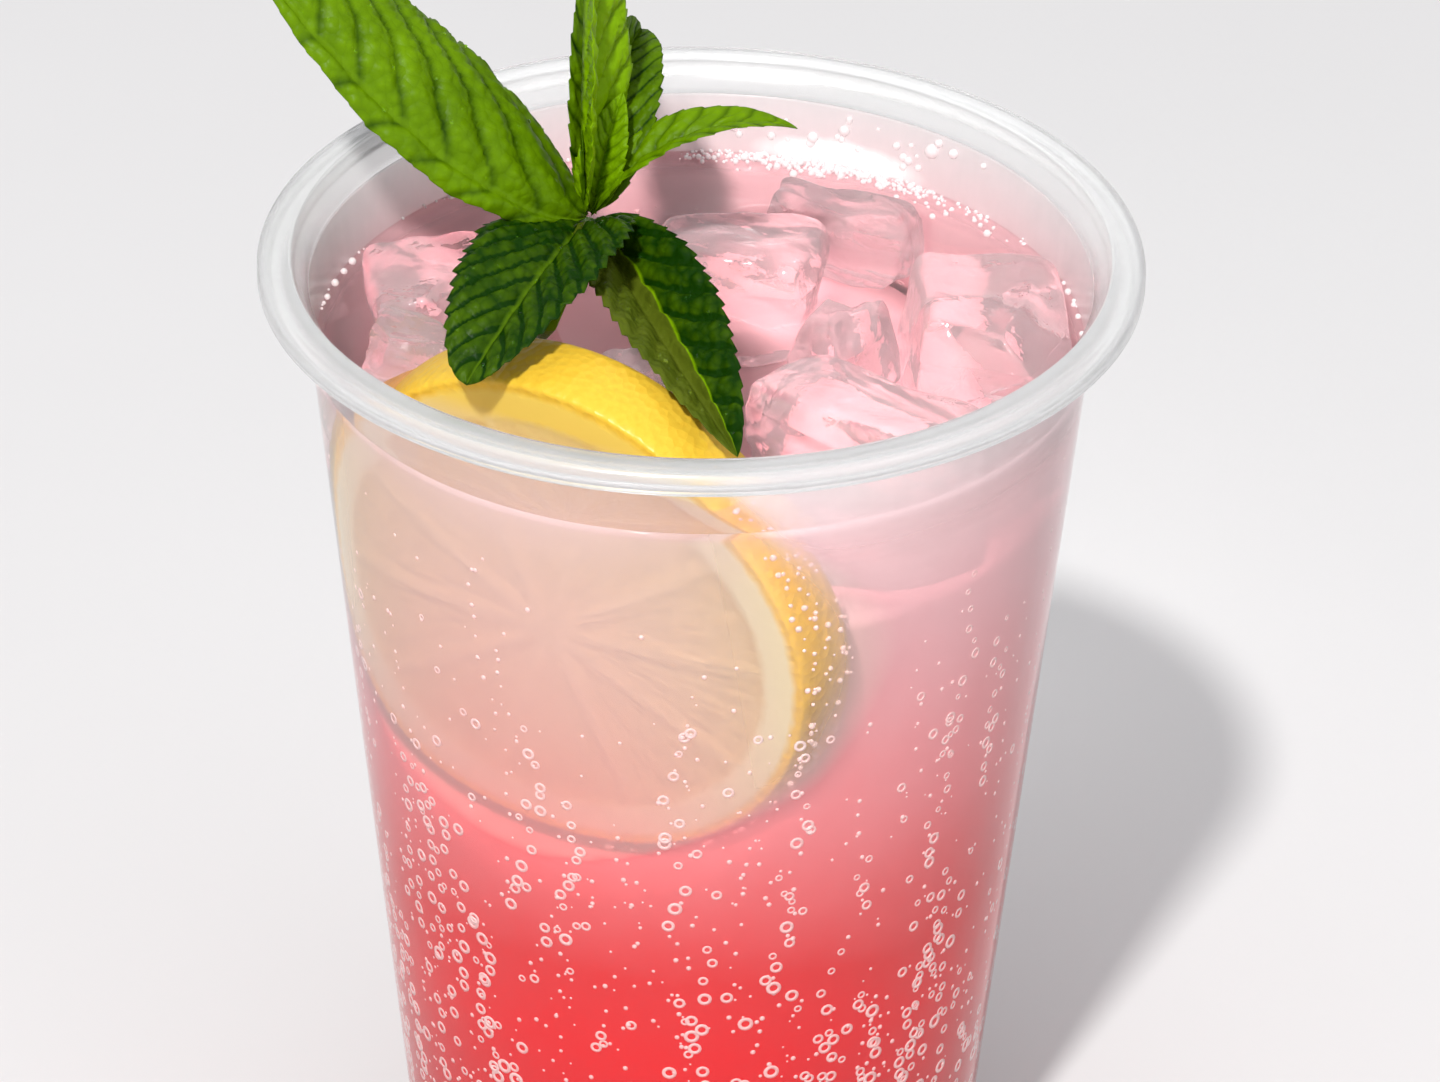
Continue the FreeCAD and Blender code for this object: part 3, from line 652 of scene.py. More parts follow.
def lemon_points(sizes, cup, around=360):
    """Points of the wheel, and the share of a turn and of the radius at which each one lies.

    A section of two flat faces and a rounded peel is turned about the wheel's axis. The
    flesh sinks between the membranes of each segment, and two slow waves make the outline
    a little uneven.
    """
    half = sizes.thickness / 2
    face = sizes.radius - sizes.edge_fall
    radii = np.concatenate([np.linspace(0.3 * MM, face - 0.4 * MM, 70), [face - 0.15 * MM]])
    tilt = np.radians(np.linspace(-90, 90, 25))
    radius = np.concatenate([radii, face + sizes.edge_fall * np.cos(tilt) ** 0.7, radii[::-1]])
    height = np.concatenate([np.full(len(radii), -half), half * np.sin(tilt), np.full(len(radii), half)])
    r, t = np.meshgrid(radius, full_turn(around), indexing="ij")
    z = np.repeat(height[:, None], around, 1)
    sector = t / (2 * np.pi) * sizes.segments
    from_membrane = (0.5 - np.abs((sector % 1.0) - 0.5)) * r * 2 * np.pi / sizes.segments
    flesh = np.clip((from_membrane - 0.4 * MM) / (1.2 * MM), 0, 1)
    flesh = flesh * np.clip((sizes.radius - sizes.rind - r) / (1.2 * MM), 0, 1)
    flesh = flesh * np.clip((r - 2.5 * MM) / (1.5 * MM), 0, 1)
    on_face = np.abs(np.abs(z) - half) < 1e-9
    z = z - np.sign(z) * on_face * flesh * 0.15 * MM
    wave = 0.25 * MM * np.sin(3 * t + 0.7) + 0.15 * MM * np.sin(5 * t + 2.0)
    r = r + (wave - 0.4 * MM) * (r / sizes.radius) ** 2
    centre, across, downward, look = lemon_frame(sizes, cup)
    x, y = r * np.cos(t), r * np.sin(t)
    points = centre + x[..., None] * across + y[..., None] * downward + z[..., None] * look
    uv = np.stack([t / (2 * np.pi), np.repeat((radius / sizes.radius)[:, None], around, 1)], -1)
    return points, uv


class DRINK_OT_lemon(bpy.types.Operator):
    """Lemon wheel with rounded peel, and flesh segments sunk a little between membranes"""

    bl_idname = "drink.lemon"
    bl_label = "Lemon wheel"

    def execute(self, context):
        sizes = context.scene.drink_lemon
        lemon = ring_solid("lemon_wheel", *lemon_points(sizes, context.scene.drink_cup))
        finish_piece(lemon, ["lemon_slice"], lemon_material(sizes))
        return {"FINISHED"}


# ------------------------------------------------------------------ ice

# turn about Z, tip sideways and tip forwards of each block in degrees, and its length,
# width and height in millimetres
ICE_SHAPES = {
    "ice_left": (10.0, 6.0, -5.0, 17.0, 14.0, 21.0),
    "ice_left_front": (-14.0, -5.0, 4.0, 10.5, 9.0, 13.0),
    "ice_middle": (-10.0, -5.0, 5.0, 19.0, 16.0, 22.0),
    "ice_middle_front": (27.0, 6.0, 7.0, 13.0, 12.0, 14.0),
    "ice_inner_right": (52.0, -7.0, 6.0, 12.0, 8.5, 17.0),
    "ice_right": (5.0, 5.0, 6.0, 17.5, 23.0, 22.0),
    "ice_front_right": (-42.0, -4.0, -5.0, 26.0, 15.0, 19.0),
    "ice_back": (-24.0, 4.0, -3.0, 18.0, 9.0, 18.0),
}
FIRST_ICE_SEED = 11
# how square a block is before it melts, and how many flat cuts plane it off
BOXINESS = 9.0
ICE_CUTS = 6


def turned(degrees, axis):
    """Rotation matrix about one axis."""
    a = math.radians(degrees)
    c, s = math.cos(a), math.sin(a)
    i, j = [(1, 2), (2, 0), (0, 1)][axis]
    matrix = np.eye(3)
    matrix[i, i], matrix[i, j], matrix[j, i], matrix[j, j] = c, -s, s, c
    return matrix


def ice_points(half, seed, rings=72, around=108):
    """A half-melted block, and how near each point lies to one of its edges.

    A box with soft edges is planed off by a few slanting flat cuts, swollen and shrunk by
    two slow waves, and hollowed a little on top.
    """
    rng = np.random.default_rng(seed)
    polar = np.linspace(0.02, np.pi - 0.02, rings)[:, None]
    turn = full_turn(around)[None]
    way = np.stack([
        np.sin(polar) * np.cos(turn), np.sin(polar) * np.sin(turn), np.cos(polar) * np.ones_like(turn)], -1)
    reach = (np.abs(way) ** BOXINESS).sum(-1) ** (-1 / BOXINESS)
    point = way * reach[..., None]
    for _ in range(ICE_CUTS):
        normal = rng.normal(size=3)
        normal /= np.linalg.norm(normal)
        over = np.maximum(point @ normal - rng.uniform(1.02, 1.25), 0)
        point = point - 0.92 * over[..., None] * normal
    melt = 0.022 * np.sin(point @ rng.normal(size=3) * 3.0)
    melt = melt + 0.012 * np.sin(point @ rng.normal(size=3) * 6.5)
    hollow = 0.10 * np.exp(-((point[..., :2] - rng.uniform(-0.4, 0.4, 2)) ** 2).sum(-1) / 0.22)
    point = point * (0.98 + melt)[..., None]
    edge = np.sort(np.abs(point), -1)[..., 1]
    point[..., 2] -= hollow * (point[..., 2] > 0.5)
    return point * half, edge


def ice_material():
    """Wet clear ice, painted a little pink for the drink that shows through it, with fine frost veils inside,
    and a painted refraction of the red drink as dark pink along its edges.
    """
    graph = Graph("clear_ice")
    point = graph.object_point()
    veil = graph.noise(point, 160.0, 4.0, 0.7)
    colour = graph.mix(graph.span(veil, 0.35, 0.7), (0.95, 0.87, 0.87), (0.92, 0.74, 0.76))
    # painted refraction of the drink: dark pink near each block's edges
    edge = graph.math("MULTIPLY_ADD", graph.noise(point, 220.0, 2.0), 0.16, graph.stored("edge"))
    colour = graph.mix(graph.span(edge, 0.96, 1.05, 0.0, 0.8), colour, (0.90, 0.36, 0.42))
    melt = graph.noise(point, 260.0, 3.0)
    body = graph.skin({
        "Base Color": colour, "Roughness": 0.05, "IOR": 1.31, "Transmission Weight": 0.80,
        "Normal": graph.bump(melt, 0.4, 1.0 * MM)})
    return graph.surface(graph.lets_light_in(body, (0.93, 0.86, 0.88), from_inside_only=False))


class DRINK_OT_ice(bpy.types.Operator):
    """Blocks of ice that stand proud of the drink"""

    bl_idname = "drink.ice"
    bl_label = "Ice"

    def execute(self, context):
        material = ice_material()
        for seed, node in enumerate(ICE_NODES):
            turn, side, forward, length, width, height = ICE_SHAPES[node]
            low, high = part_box(node)
            centre = (np.array(low) + np.array(high)) / 2
            half = np.array([length, width, height]) / 2 * MM
            matrix = turned(turn, 2) @ turned(forward, 1) @ turned(side, 0)
            points, edge = ice_points(half, seed + FIRST_ICE_SEED)
            points = points @ matrix.T + centre
            ice = ring_solid(node + "_block", points[::-1])
            store(ice, "edge", np.append(edge[::-1].ravel(), [0, 0]))
            finish_piece(ice, [node], material)
        return {"FINISHED"}


# ------------------------------------------------------------------ mint

# the middle of the knuckle that the leaves and the stem grow from, in millimetres
NODE = np.array([-12.7, 3.7, RIM_TOP / MM + 1.0])
# length, greatest width, heading, rise at the stalk and at the tip, swing, roll, fold,
# teeth on a side, and the stalk's place beside the node; millimetres and degrees
LEAVES = [
    (50.0, 22.0, 188.9, 52.9, 30.6, -16.9, -19.5, -19.8, 13, (0.0, 0.0, 1.0)),
    (34.8, 17.5, 257.9, 21.2, -30.4, -18.9, 5.6, 15.4, 11, (0.0, -0.6, 0.0)),
    (42.4, 16.4, 293.5, -10.2, -8.1, -1.2, 5.6, 41.0, 12, (0.6, -0.6, 0.0)),
    (26.7, 7.3, 10.5, 60.8, -20.4, 3.2, 2.6, 22.1, 9, (0.6, 0.0, 1.0)),
    (36.0, 14.0, 80.0, 86.0, 84.0, 0.0, 82.0, 24.0, 10, (-0.4, 0.2, 1.2)),
    (26.2, 12.2, 77.0, 68.0, -8.5, -3.0, 37.0, 46.0, 9, (0.2, 0.6, 1.2)),
    (14.0, 6.0, 40.0, 78.0, 62.0, 10.0, 30.0, 22.0, 6, (0.5, 0.2, 1.2)),
    (31.0, 6.5, 88.0, 68.0, 48.0, 4.0, 30.0, 22.0, 8, (-0.3, 0.6, 1.0)),
]
# side veins on each side of a leaf, and how many fine teeth stand in for one of the CAD's
VEINS = 8.0
FINE_TEETH = 1.6
# how far out of the middle of each leaf its midrib runs, and how steeply its veins lean to the tip
MIDRIBS = (0.72, 0.0, -0.05, 0.0, 0.0, 0.0, 0.0, 0.0)
VEIN_LEANS = (1.0, 1.7, 1.4, 1.2, 1.2, 1.4, 1.2, 1.2)
# how pointed each leaf's tip is: the power of its outline
POINTS = (0.75, 0.50, 0.66, 0.75, 0.75, 0.62, 0.75, 0.75)
# how bright each leaf is painted, from the dark old ones in front to the pale young ones: mostly painted
# light and shade for how each leaf is lit, partly the darker older leaves and paler young ones
LEAF_SHADE_AND_AGE = (0.60, 0.06, 0.05, 0.72, 1.18, 0.32, 1.0, 0.45)
STEM_TONE = 0.45
# the hanging leaf shows the smooth pale underside of its inner half
TURNED_LEAF = 2
PALE = 2.0
DEW_COUNT = 80


def leaf_rings(leaf, midrib, vein_lean, pointed, stations=150, lanes=31):
    """Closed rings round a blade, from stalk to tip, with each point's place along and across.

    The midrib is an arc that rises and swings. The blade is an ovate outline with saw
    teeth, folded along the midrib. Its face is quilted: pillows stand between narrow
    valleys along the midrib and along side veins that run towards the tip, and finer
    wrinkles cross the pillows.
    """
    length, width, heading, rise, end_rise, swing, roll, fold, teeth, start = leaf
    s = np.linspace(0, 1, stations)
    yaw = np.radians(heading + swing * s)
    pitch = np.radians(rise + (end_rise - rise) * s)
    way = np.stack([np.cos(pitch) * np.cos(yaw), np.cos(pitch) * np.sin(yaw), np.sin(pitch)], -1)
    step = (way[1:] + way[:-1]) * (0.5 * length / (stations - 1))
    middle = np.concatenate([np.zeros((1, 3)), np.cumsum(step, 0)]) + np.array(start)
    left = np.stack([-np.sin(yaw), np.cos(yaw), 0 * yaw], -1)
    face = np.cross(way, left)
    turn = math.radians(roll)
    side = left * math.cos(turn) + face * math.sin(turn)
    normal = np.cross(way, side)
    blade = np.sin(np.pi * s ** 0.8) ** pointed
    half = np.maximum(width / 2 * blade, np.maximum(0.75 * (1 - s) ** 2, 0.06))[:, None]
    grid_s, grid_t = np.meshgrid(s, np.linspace(-1, 1, lanes), indexing="ij")
    edge = np.abs(grid_t)
    reach = np.abs(grid_t - midrib)
    saw = (grid_s * teeth * FINE_TEETH) % 1.0
    tooth = 0.10 * (saw - 0.6) * edge ** 5 * np.clip(half / 3.0, 0, 1)
    tooth = tooth * np.where(grid_t > 0, 1 - midrib, 1)
    phase = (grid_s - reach * half / length * vein_lean) * VEINS
    phase = phase + 0.07 * np.sin(7 * reach + 5 * grid_s + heading)
    pillow = np.abs(np.sin(np.pi * phase)) ** 0.7
    wrinkle = reach * half / 1.9 + 0.35 * np.sin(2 * np.pi * phase) + 3 * grid_s
    crossing = np.abs(np.sin(np.pi * wrinkle)) ** 0.8
    size = np.minimum(half / 11.0, 1.0) ** 0.8
    inner = np.clip(reach * 6, 0, 1) * np.clip((1.05 - edge) * 4, 0, 1)
    quilt = (0.85 * pillow + 0.55 * crossing * pillow) * size * inner
    groove = -0.5 * size * np.exp(-(reach / 0.07) ** 2)
    ruffle = 0.5 * size * np.clip(edge - 0.6, 0, 1) * np.sin(grid_s * 26 + 2 * grid_t + heading)
    lift = edge ** (1.15 + midrib) * half * math.sin(math.radians(fold))
    across = grid_t * half * (1 + tooth) * math.cos(math.radians(fold))
    thick = 0.17 * np.clip(1.15 - edge, 0.25, 1) * np.clip(half / 2, 0.4, 1)
    height = lift + quilt + groove + ruffle
    flat = middle[:, None] + side[:, None] * across[..., None]
    top = flat + normal[:, None] * (height + thick)[..., None]
    under = flat + normal[:, None] * (height - thick)[..., None]
    rings = np.concatenate([top, under[:, ::-1]], 1)
    uv_top = np.stack([phase, (grid_t - midrib) * 0.5 + 0.5], -1)
    uv = np.concatenate([uv_top, uv_top[:, ::-1]], 1)
    return (rings + NODE) * MM, uv


def leaf_material():
    """Fresh mint leaf: painted shade makes it deep green in its creases and at the borders of its fine cells,
    bright on its pillows, paler beneath.
    """
    graph = Graph("mint_leaf")
    parts = graph.node("SeparateXYZ", {0: graph.node("UVMap").outputs[0]})
    phase, across = parts.outputs["X"], parts.outputs["Y"]
    reach = graph.math("MULTIPLY", graph.math("ABSOLUTE", graph.math("SUBTRACT", across, 0.5)), 2.0)
    wave = graph.math("ABSOLUTE", graph.math("SINE", graph.math("MULTIPLY", phase, math.pi)))
    crease = graph.span(wave, 0.0, 0.5, 1.0, 0.0)
    rib = graph.span(reach, 0.015, 0.05, 1.0, 0.0)
    point = graph.object_point()
    patches = graph.noise(point, 130.0, 4.0)
    fine = graph.noise(point, 1500.0, 3.0)
    cells = graph.node("TexVoronoi", {"Vector": point, "Scale": 750.0}).outputs["Distance"]
    # each leaf's painted light and shade with its tone, and the pale underside of the turned leaf
    shade_and_tone = graph.stored("shade_and_tone")
    beneath = graph.span(shade_and_tone, 1.2, 1.8)
    shade_and_tone = graph.math("ADD", shade_and_tone, graph.math("MULTIPLY_ADD", patches, 0.6, -0.3))
    # painted shade: darker in the creases and at the borders of the fine cells
    shade_and_tone = graph.math("SUBTRACT", shade_and_tone, graph.math("MULTIPLY", crease, 0.42))
    shade_and_tone = graph.math("SUBTRACT", shade_and_tone, graph.math("MULTIPLY", cells, 0.26))
    green = graph.mix(graph.span(shade_and_tone, -0.2, 1.0), (0.007, 0.042, 0.0005), (0.25, 0.47, 0.001))
    green = graph.mix(graph.math("MULTIPLY", rib, 0.45), green, (0.18, 0.34, 0.004))
    pale = graph.mix(patches, (0.06, 0.10, 0.004), (0.17, 0.21, 0.015))
    colour = graph.mix(beneath, green, pale)
    height = graph.math("SUBTRACT", graph.math("MULTIPLY", fine, 0.25), cells)
    rough = graph.math("MULTIPLY_ADD", fine, 0.25, 0.28)
    body = graph.skin({
        "Base Color": colour, "Roughness": rough, "IOR": 1.4, "Specular IOR Level": 0.15,
        "Normal": graph.bump(height, 0.55, 0.4 * MM)})
    glow = graph.node("BsdfTranslucent", {"Color": graph.mix(0.5, colour, (0.35, 0.55, 0.0))})
    mixed = graph.node("MixShader", {0: 0.2, 1: body, 2: glow.outputs[0]})
    return graph.surface(mixed.outputs[0])


def dew_material():
    """Clear drops, a little green from the leaf."""
    graph = Graph("dew")
    mist = graph.noise(graph.object_point(), 400.0)
    return graph.surface(graph.skin({
        "Base Color": graph.mix(mist, (1.0, 1.0, 1.0), (0.9, 1.0, 0.9)), "Roughness": 0.02, "IOR": 1.33,
        "Transmission Weight": 1.0}))


def stem_rings(stations=60, around=24):
    """Square stem with soft corners along an arc that leaves the node downwards, then a blunt end."""
    length, bend, width = 34.0, 190.0, 2.4
    lean, bearing = 20.0, 202.0
    s = np.linspace(0, 1, stations)
    angle = length / bend * s
    local = np.stack([bend * (1 - np.cos(angle)), 0 * angle, -bend * np.sin(angle)], -1)
    line = local @ (turned(bearing, 2) @ turned(-lean, 1)).T
    way = np.gradient(line, axis=0)
    way /= np.linalg.norm(way, axis=1)[:, None]
    side = np.cross(way, [0.0, 1.0, 0.2])
    side /= np.linalg.norm(side, axis=1)[:, None]
    other = np.cross(way, side)
    turn = full_turn(around)
    reach = width / 2 * (np.abs(np.cos(turn)) ** 5 + np.abs(np.sin(turn)) ** 5) ** (-1 / 5) * 0.92
    swollen = 1 + 0.5 * np.exp(-(s * length / 1.6) ** 2)
    ring = side[:, None] * (reach * np.cos(turn))[None, :, None]
    ring = (ring + other[:, None] * (reach * np.sin(turn))[None, :, None]) * swollen[:, None, None]
    points = (line[:, None] + ring + NODE) * MM
    return points, np.full((stations, around, 2), 0.5)


def sprig_mesh(shapes, shades_and_tones):
    """One mesh of every leaf and the stem, which keeps each point's painted light and shade and its tone."""
    vertices, uvs, loops, starts, shades = [], [], [], [], []
    count, filled = 0, 0
    for index, ((points, uv), shade_and_tone) in enumerate(zip(shapes, shades_and_tones)):
        part_loops, part_starts = pack_faces(*ring_faces(*points.shape[:2]))
        vertices.append(with_end_points(points))
        uvs.append(with_end_points(uv))
        loops.append(part_loops + count)
        starts.append(part_starts + filled)
        shade = np.full(len(vertices[-1]), shade_and_tone)
        if index == TURNED_LEAF:
            shade[uvs[-1][:, 1] < 0.60] = PALE
        shades.append(shade)
        count += len(shade)
        filled += len(part_loops)
    parts = [np.concatenate(rows) for rows in (vertices, loops, starts, uvs)]
    sprig = mesh_object("mint_leaves", *parts)
    store(sprig, "shade_and_tone", np.concatenate(shades))
    return sprig


class DRINK_OT_mint(bpy.types.Operator):
    """Sprig of mint: toothed, quilted leaves that grow from one node of a square stem"""

    bl_idname = "drink.mint"
    bl_label = "Mint sprig"

    def execute(self, context):
        shapes = [leaf_rings(*leaf) for leaf in zip(LEAVES, MIDRIBS, VEIN_LEANS, POINTS)]
        sprig = sprig_mesh([*shapes, stem_rings()], [*LEAF_SHADE_AND_AGE, STEM_TONE])
        finish_piece(sprig, ["mint_sprig"], leaf_material())
        rng = np.random.default_rng(5)
        faces = np.concatenate([points[20:140, 3:28].reshape(-1, 3) for points, _ in shapes[:3]])
        places = faces[rng.integers(0, len(faces), DEW_COUNT)]
        drops = many_balls("dew_drops", places, rng.uniform(0.12, 0.30, DEW_COUNT) * MM)
        finish_piece(drops, [], dew_material(), shadow=False)
        return {"FINISHED"}


# ------------------------------------------------------------------ bubbles

RING_COUNT = 1700
BEAD_COUNT = 2700
PEEL_COUNT = 150


def ball(rings=4, around=8):
    """A small sphere's points and faces, of radius one."""
    polar = np.linspace(0, np.pi, rings + 2)[1:-1]
    p, t = np.meshgrid(polar, full_turn(around), indexing="ij")
    points = np.stack([np.sin(p) * np.cos(t), np.sin(p) * np.sin(t), np.cos(p)], -1).reshape(-1, 3)
    points = np.concatenate([points, [[0, 0, 1.0], [0, 0, -1.0]]])
    quads, fans = ring_faces(rings, around)
    return points, quads[:, ::-1], fans[:, ::-1]


def tiny_ring(around=12, section=4):
    """A small ring's points and faces: outer radius one, lying in the YZ plane."""
    t, q = np.meshgrid(full_turn(around), full_turn(section) + np.pi / 4, indexing="ij")
    reach = 0.70 + 0.30 * np.cos(q)
    points = np.stack([0.30 * np.sin(q), reach * np.cos(t), reach * np.sin(t)], -1).reshape(-1, 3)
    return points, torus_quads(around, section)


def scattered(name, centres, shapes, quads, triangles=NO_TRIANGLES):
    """One mesh of many small shapes: the points of each one, moved to its centre."""
    shift = (np.arange(len(centres)) * shapes.shape[1])[:, None, None]
    loops, starts = pack_faces((quads + shift).reshape(-1, 4), (triangles + shift).reshape(-1, 3))
    return mesh_object(name, (centres[:, None] + shapes).reshape(-1, 3), loops, starts)


def many_balls(name, centres, radii):
    """One mesh of many small spheres."""
    points, quads, fans = ball()
    return scattered(name, centres, points * radii[:, None, None], quads, fans)


def many_rings(name, centres, radii, angles):
    """One mesh of many small rings, each turned about Z to face along its bearing."""
    points, quads = tiny_ring()
    c, s = np.cos(angles)[:, None], np.sin(angles)[:, None]
    x = points[:, 0] * c - points[:, 1] * s
    y = points[:, 0] * s + points[:, 1] * c
    z = np.broadcast_to(points[:, 2], x.shape)
    return scattered(name, centres, np.stack([x, y, z], -1) * radii[:, None, None], quads)


def bubble_places(rng, count, crowding):
    """Bearings and heights of bubbles that cling to the wall.

    Half are loose and half climb in strings of 4 to 12, which stand 1.7 to 3.2 mm apart.
    They grow denser towards the floor, the more so the larger crowding is.
    """
    strings = count // 16
    turn = rng.uniform(0, 2 * np.pi, strings)
    start = 4 * MM + (LEVEL - 24 * MM) * rng.beta(1.0, crowding, strings)
    steps = rng.integers(4, 13, strings)
    owner = np.repeat(np.arange(strings), steps)
    order = np.concatenate([np.arange(n) for n in steps])
    height = start[owner] + order * rng.uniform(1.7, 3.2, strings)[owner] * MM
    height = height + rng.normal(0, 0.4, len(owner)) * MM
    angle = turn[owner] + rng.normal(0, 0.016, len(owner)) + 0.02 * np.sin(order * 0.8 + owner)
    loose = count // 2
    low = rng.beta(1.0, crowding * 1.2, loose)
    height = np.concatenate([height, 3 * MM + (LEVEL - 8 * MM) * low])
    angle = np.concatenate([angle, rng.uniform(0, 2 * np.pi, loose)])
    keep = height < LEVEL - 3 * MM
    return angle[keep], height[keep]


def on_wall(cup, angle, height, depth):
    """Points at a depth inside the wall's inner face."""
    reach = cup.base_radius - cup.wall + wall_rise(cup) * height - depth
    return np.stack([reach * np.cos(angle), reach * np.sin(angle), height], -1)


def bubble_material():
    """Gas bubble painted near white as a highlight along its edge, a little pink from the drink around it."""
    graph = Graph("bubble_painted_glint")
    shade = graph.noise(graph.object_point(), 420.0, 2.0)
    colour = graph.mix(shade, (1.0, 0.86, 0.84), (0.98, 0.62, 0.62))
    return graph.surface(graph.skin({
        "Base Color": colour, "Roughness": 0.18, "IOR": 1.33, "Transmission Weight": 0.25}))


class DRINK_OT_bubbles(bpy.types.Operator):
    """Gas bubbles: rings where large ones press on the wall, and small beads between them"""

    bl_idname = "drink.bubbles"
    bl_label = "Bubbles"

    def execute(self, context):
        rng = np.random.default_rng(7)
        cup, lemon = context.scene.drink_cup, context.scene.drink_lemon
        into_wall = context.scene.drink_looks.into_wall
        material = bubble_material()
        angle, height = bubble_places(rng, RING_COUNT, 2.2)
        radius = rng.uniform(0.5, 1.0, len(angle)) * MM * (1.2 - 0.5 * height / LEVEL)
        rings = many_rings("bubble_rings", on_wall(cup, angle, height, -into_wall), radius, angle)
        angle, height = bubble_places(rng, BEAD_COUNT, 1.5)
        radius = rng.uniform(0.12, 0.34, len(angle)) * MM
        beads = many_balls("bubble_beads", on_wall(cup, angle, height, -into_wall), radius)
        centre, across, downward, look = lemon_frame(lemon, cup)
        turn = rng.uniform(-1.5, 0.75, PEEL_COUNT)[:, None]
        peel = centre + (across * np.cos(turn) - downward * np.sin(turn)) * lemon.radius
        peel = peel + look * lemon.thickness * rng.uniform(-0.45, 0.5, (PEEL_COUNT, 1))
        peel_beads = many_balls("peel_beads", peel, rng.uniform(0.16, 0.42, PEEL_COUNT) * MM)
        for bubbles in (rings, beads, peel_beads):
            finish_piece(bubbles, [], material, shadow=False)
        return {"FINISHED"}


# ------------------------------------------------------------------ film and froth

FROTH_COUNT = 620
# how many of them lie loose round the wall, and how many more cling above the level as larger white painted
# glints on the wet wall
FROTH_LOOSE = 110
FROTH_HIGH = 26


def film_material():
    """Milky wet film: pink near the level, whiter above it, clear over the lemon, with a white painted
    highlight at the back.
    """
    graph = Graph("wet_film")
    point = graph.object_point()
    height = graph.height()
    streak = graph.node("Mapping", {"Vector": point, "Scale": (1.0, 1.0, 0.35)}).outputs[0]
    blotch = graph.noise(streak, 150.0, 4.0)
    # painted highlight: a white patch on the film where the wet wall shines at the back
    painted_glare = graph.span(graph.math("MULTIPLY_ADD", blotch, 0.5, graph.stored("painted_glare")), 0.62, 0.85)
    from_foot = graph.span(height, FILM_FOOT, LEVEL - 0.5 * MM)
    thick = graph.span(height, LEVEL, FILM_TOP, 0.62, 0.34)
    share = graph.math("MULTIPLY", graph.math("MULTIPLY_ADD", blotch, 0.2, thick), from_foot)
    share = graph.math("MULTIPLY", share, graph.stored("veil"))
    share = graph.math("MAXIMUM", share, graph.math("MULTIPLY", painted_glare, 0.85))
    colour = graph.mix(graph.span(height, LEVEL, FILM_TOP), (0.89, 0.68, 0.70), (0.91, 0.83, 0.84))
    colour = graph.mix(painted_glare, colour, (1.0, 0.99, 0.99))
    return graph.surface(graph.skin({"Base Color": colour, "Roughness": 0.3, "Alpha": share}))


def froth_material():
    """Near-white froth of packed small bubbles, which also stands as painted glints where the wet wall shines
    at the back.
    """
    graph = Graph("froth")
    shade = graph.noise(graph.object_point(), 300.0)
    colour = graph.mix(shade, (0.98, 0.94, 0.94), (0.98, 0.86, 0.88))
    return graph.surface(graph.skin({
        "Base Color": colour, "Roughness": 0.12, "IOR": 1.33, "Transmission Weight": 0.25}))


def wet_film(cup, lemon):
    """A thin closed sleeve just into the wall, which keeps where it is veiled and where a white highlight is
    painted on it.

    The veil is missing where the lemon lies close behind. The painted highlight falls off as a bell
    curve with the bearing and with the height over the level.
    """
    height = np.linspace(FILM_FOOT, FILM_TOP, 40)
    inside = cup.base_radius - cup.wall + wall_rise(cup) * height
    outer = np.stack([inside + 0.14 * MM, height], -1)
    inner = np.stack([inside - 0.04 * MM, height], -1)[::-1]
    film = turned_ring("wet_film", np.concatenate([outer, inner]), 256)
    points = np.empty(len(film.data.vertices) * 3, np.float32)
    film.data.vertices.foreach_get("co", points)
    points = points.reshape(-1, 3).astype(float)
    store(film, "veil", 1 - film_clearness(points, lemon, cup, spill=6 * MM, fade=40 * MM))
    # where the white painted highlight lies on the film
    bearing = np.degrees(np.arctan2(points[:, 1], points[:, 0]))
    above = points[:, 2] - LEVEL - 1.2 * MM
    store(film, "painted_glare", np.exp(-((bearing - PAINTED_GLARE_BEARING) / 15) ** 2) * np.exp(-(above / (2.4 * MM)) ** 2))
    return film


def froth_bubbles(cup):
    """Small bubbles at the level, gathered under the painted highlight's bearing, with some all round and a
    few higher up as painted glints.
    """
    rng = np.random.default_rng(21)
    angle = np.radians(rng.normal(PAINTED_GLARE_BEARING, 13.0, FROTH_COUNT))
    loose = slice(0, FROTH_LOOSE)
    high = slice(FROTH_LOOSE, FROTH_LOOSE + FROTH_HIGH)
    angle[loose] = rng.uniform(-1.2, 3.3, FROTH_LOOSE)
    radius = np.minimum(rng.gamma(2.2, 0.07, FROTH_COUNT) + 0.10, 0.5) * MM
    inward = np.abs(rng.normal(0, 1.2, FROTH_COUNT)) * MM + radius
    inward[loose] = radius[loose]
    height = LEVEL + rng.uniform(-0.1, 0.5, FROTH_COUNT) * MM
    height[high] = LEVEL + rng.uniform(2.0, 6.5, FROTH_HIGH) * MM
    inward[high] = 0.2 * MM
    radius[high] *= 1.9
    return many_balls("froth", on_wall(cup, angle, height, inward), radius)


class DRINK_OT_film(bpy.types.Operator):
    """Thin wet film on the wall between the level and the rim, and froth at the back"""

    bl_idname = "drink.film"
    bl_label = "Film and froth"

    def execute(self, context):
        cup = context.scene.drink_cup
        film = wet_film(cup, context.scene.drink_lemon)
        finish_piece(film, [], film_material(), shadow=False)
        finish_piece(froth_bubbles(cup), [], froth_material(), shadow=False)
        return {"FINISHED"}


# ------------------------------------------------------------------ stage

class StageSettings(bpy.types.PropertyGroup):
    """Where the camera and the lamps stand."""

    distance: length_prop("Distance", "Camera's distance from the point it looks at", 800.0)
    elevation: angle_prop("Elevation", "Camera's height as an angle", 31.36)
    roll: angle_prop("Roll", "Camera's turn about its own line", 0.77)
    aim_side: length_prop("Aim side", "Sideways place of the point it looks at", 2.46)
    aim_below_rim: length_prop("Aim below rim", "Depth of that point under the rim", 37.84)
    lens: number_prop("Lens", "Focal length in millimetres", 176.9)


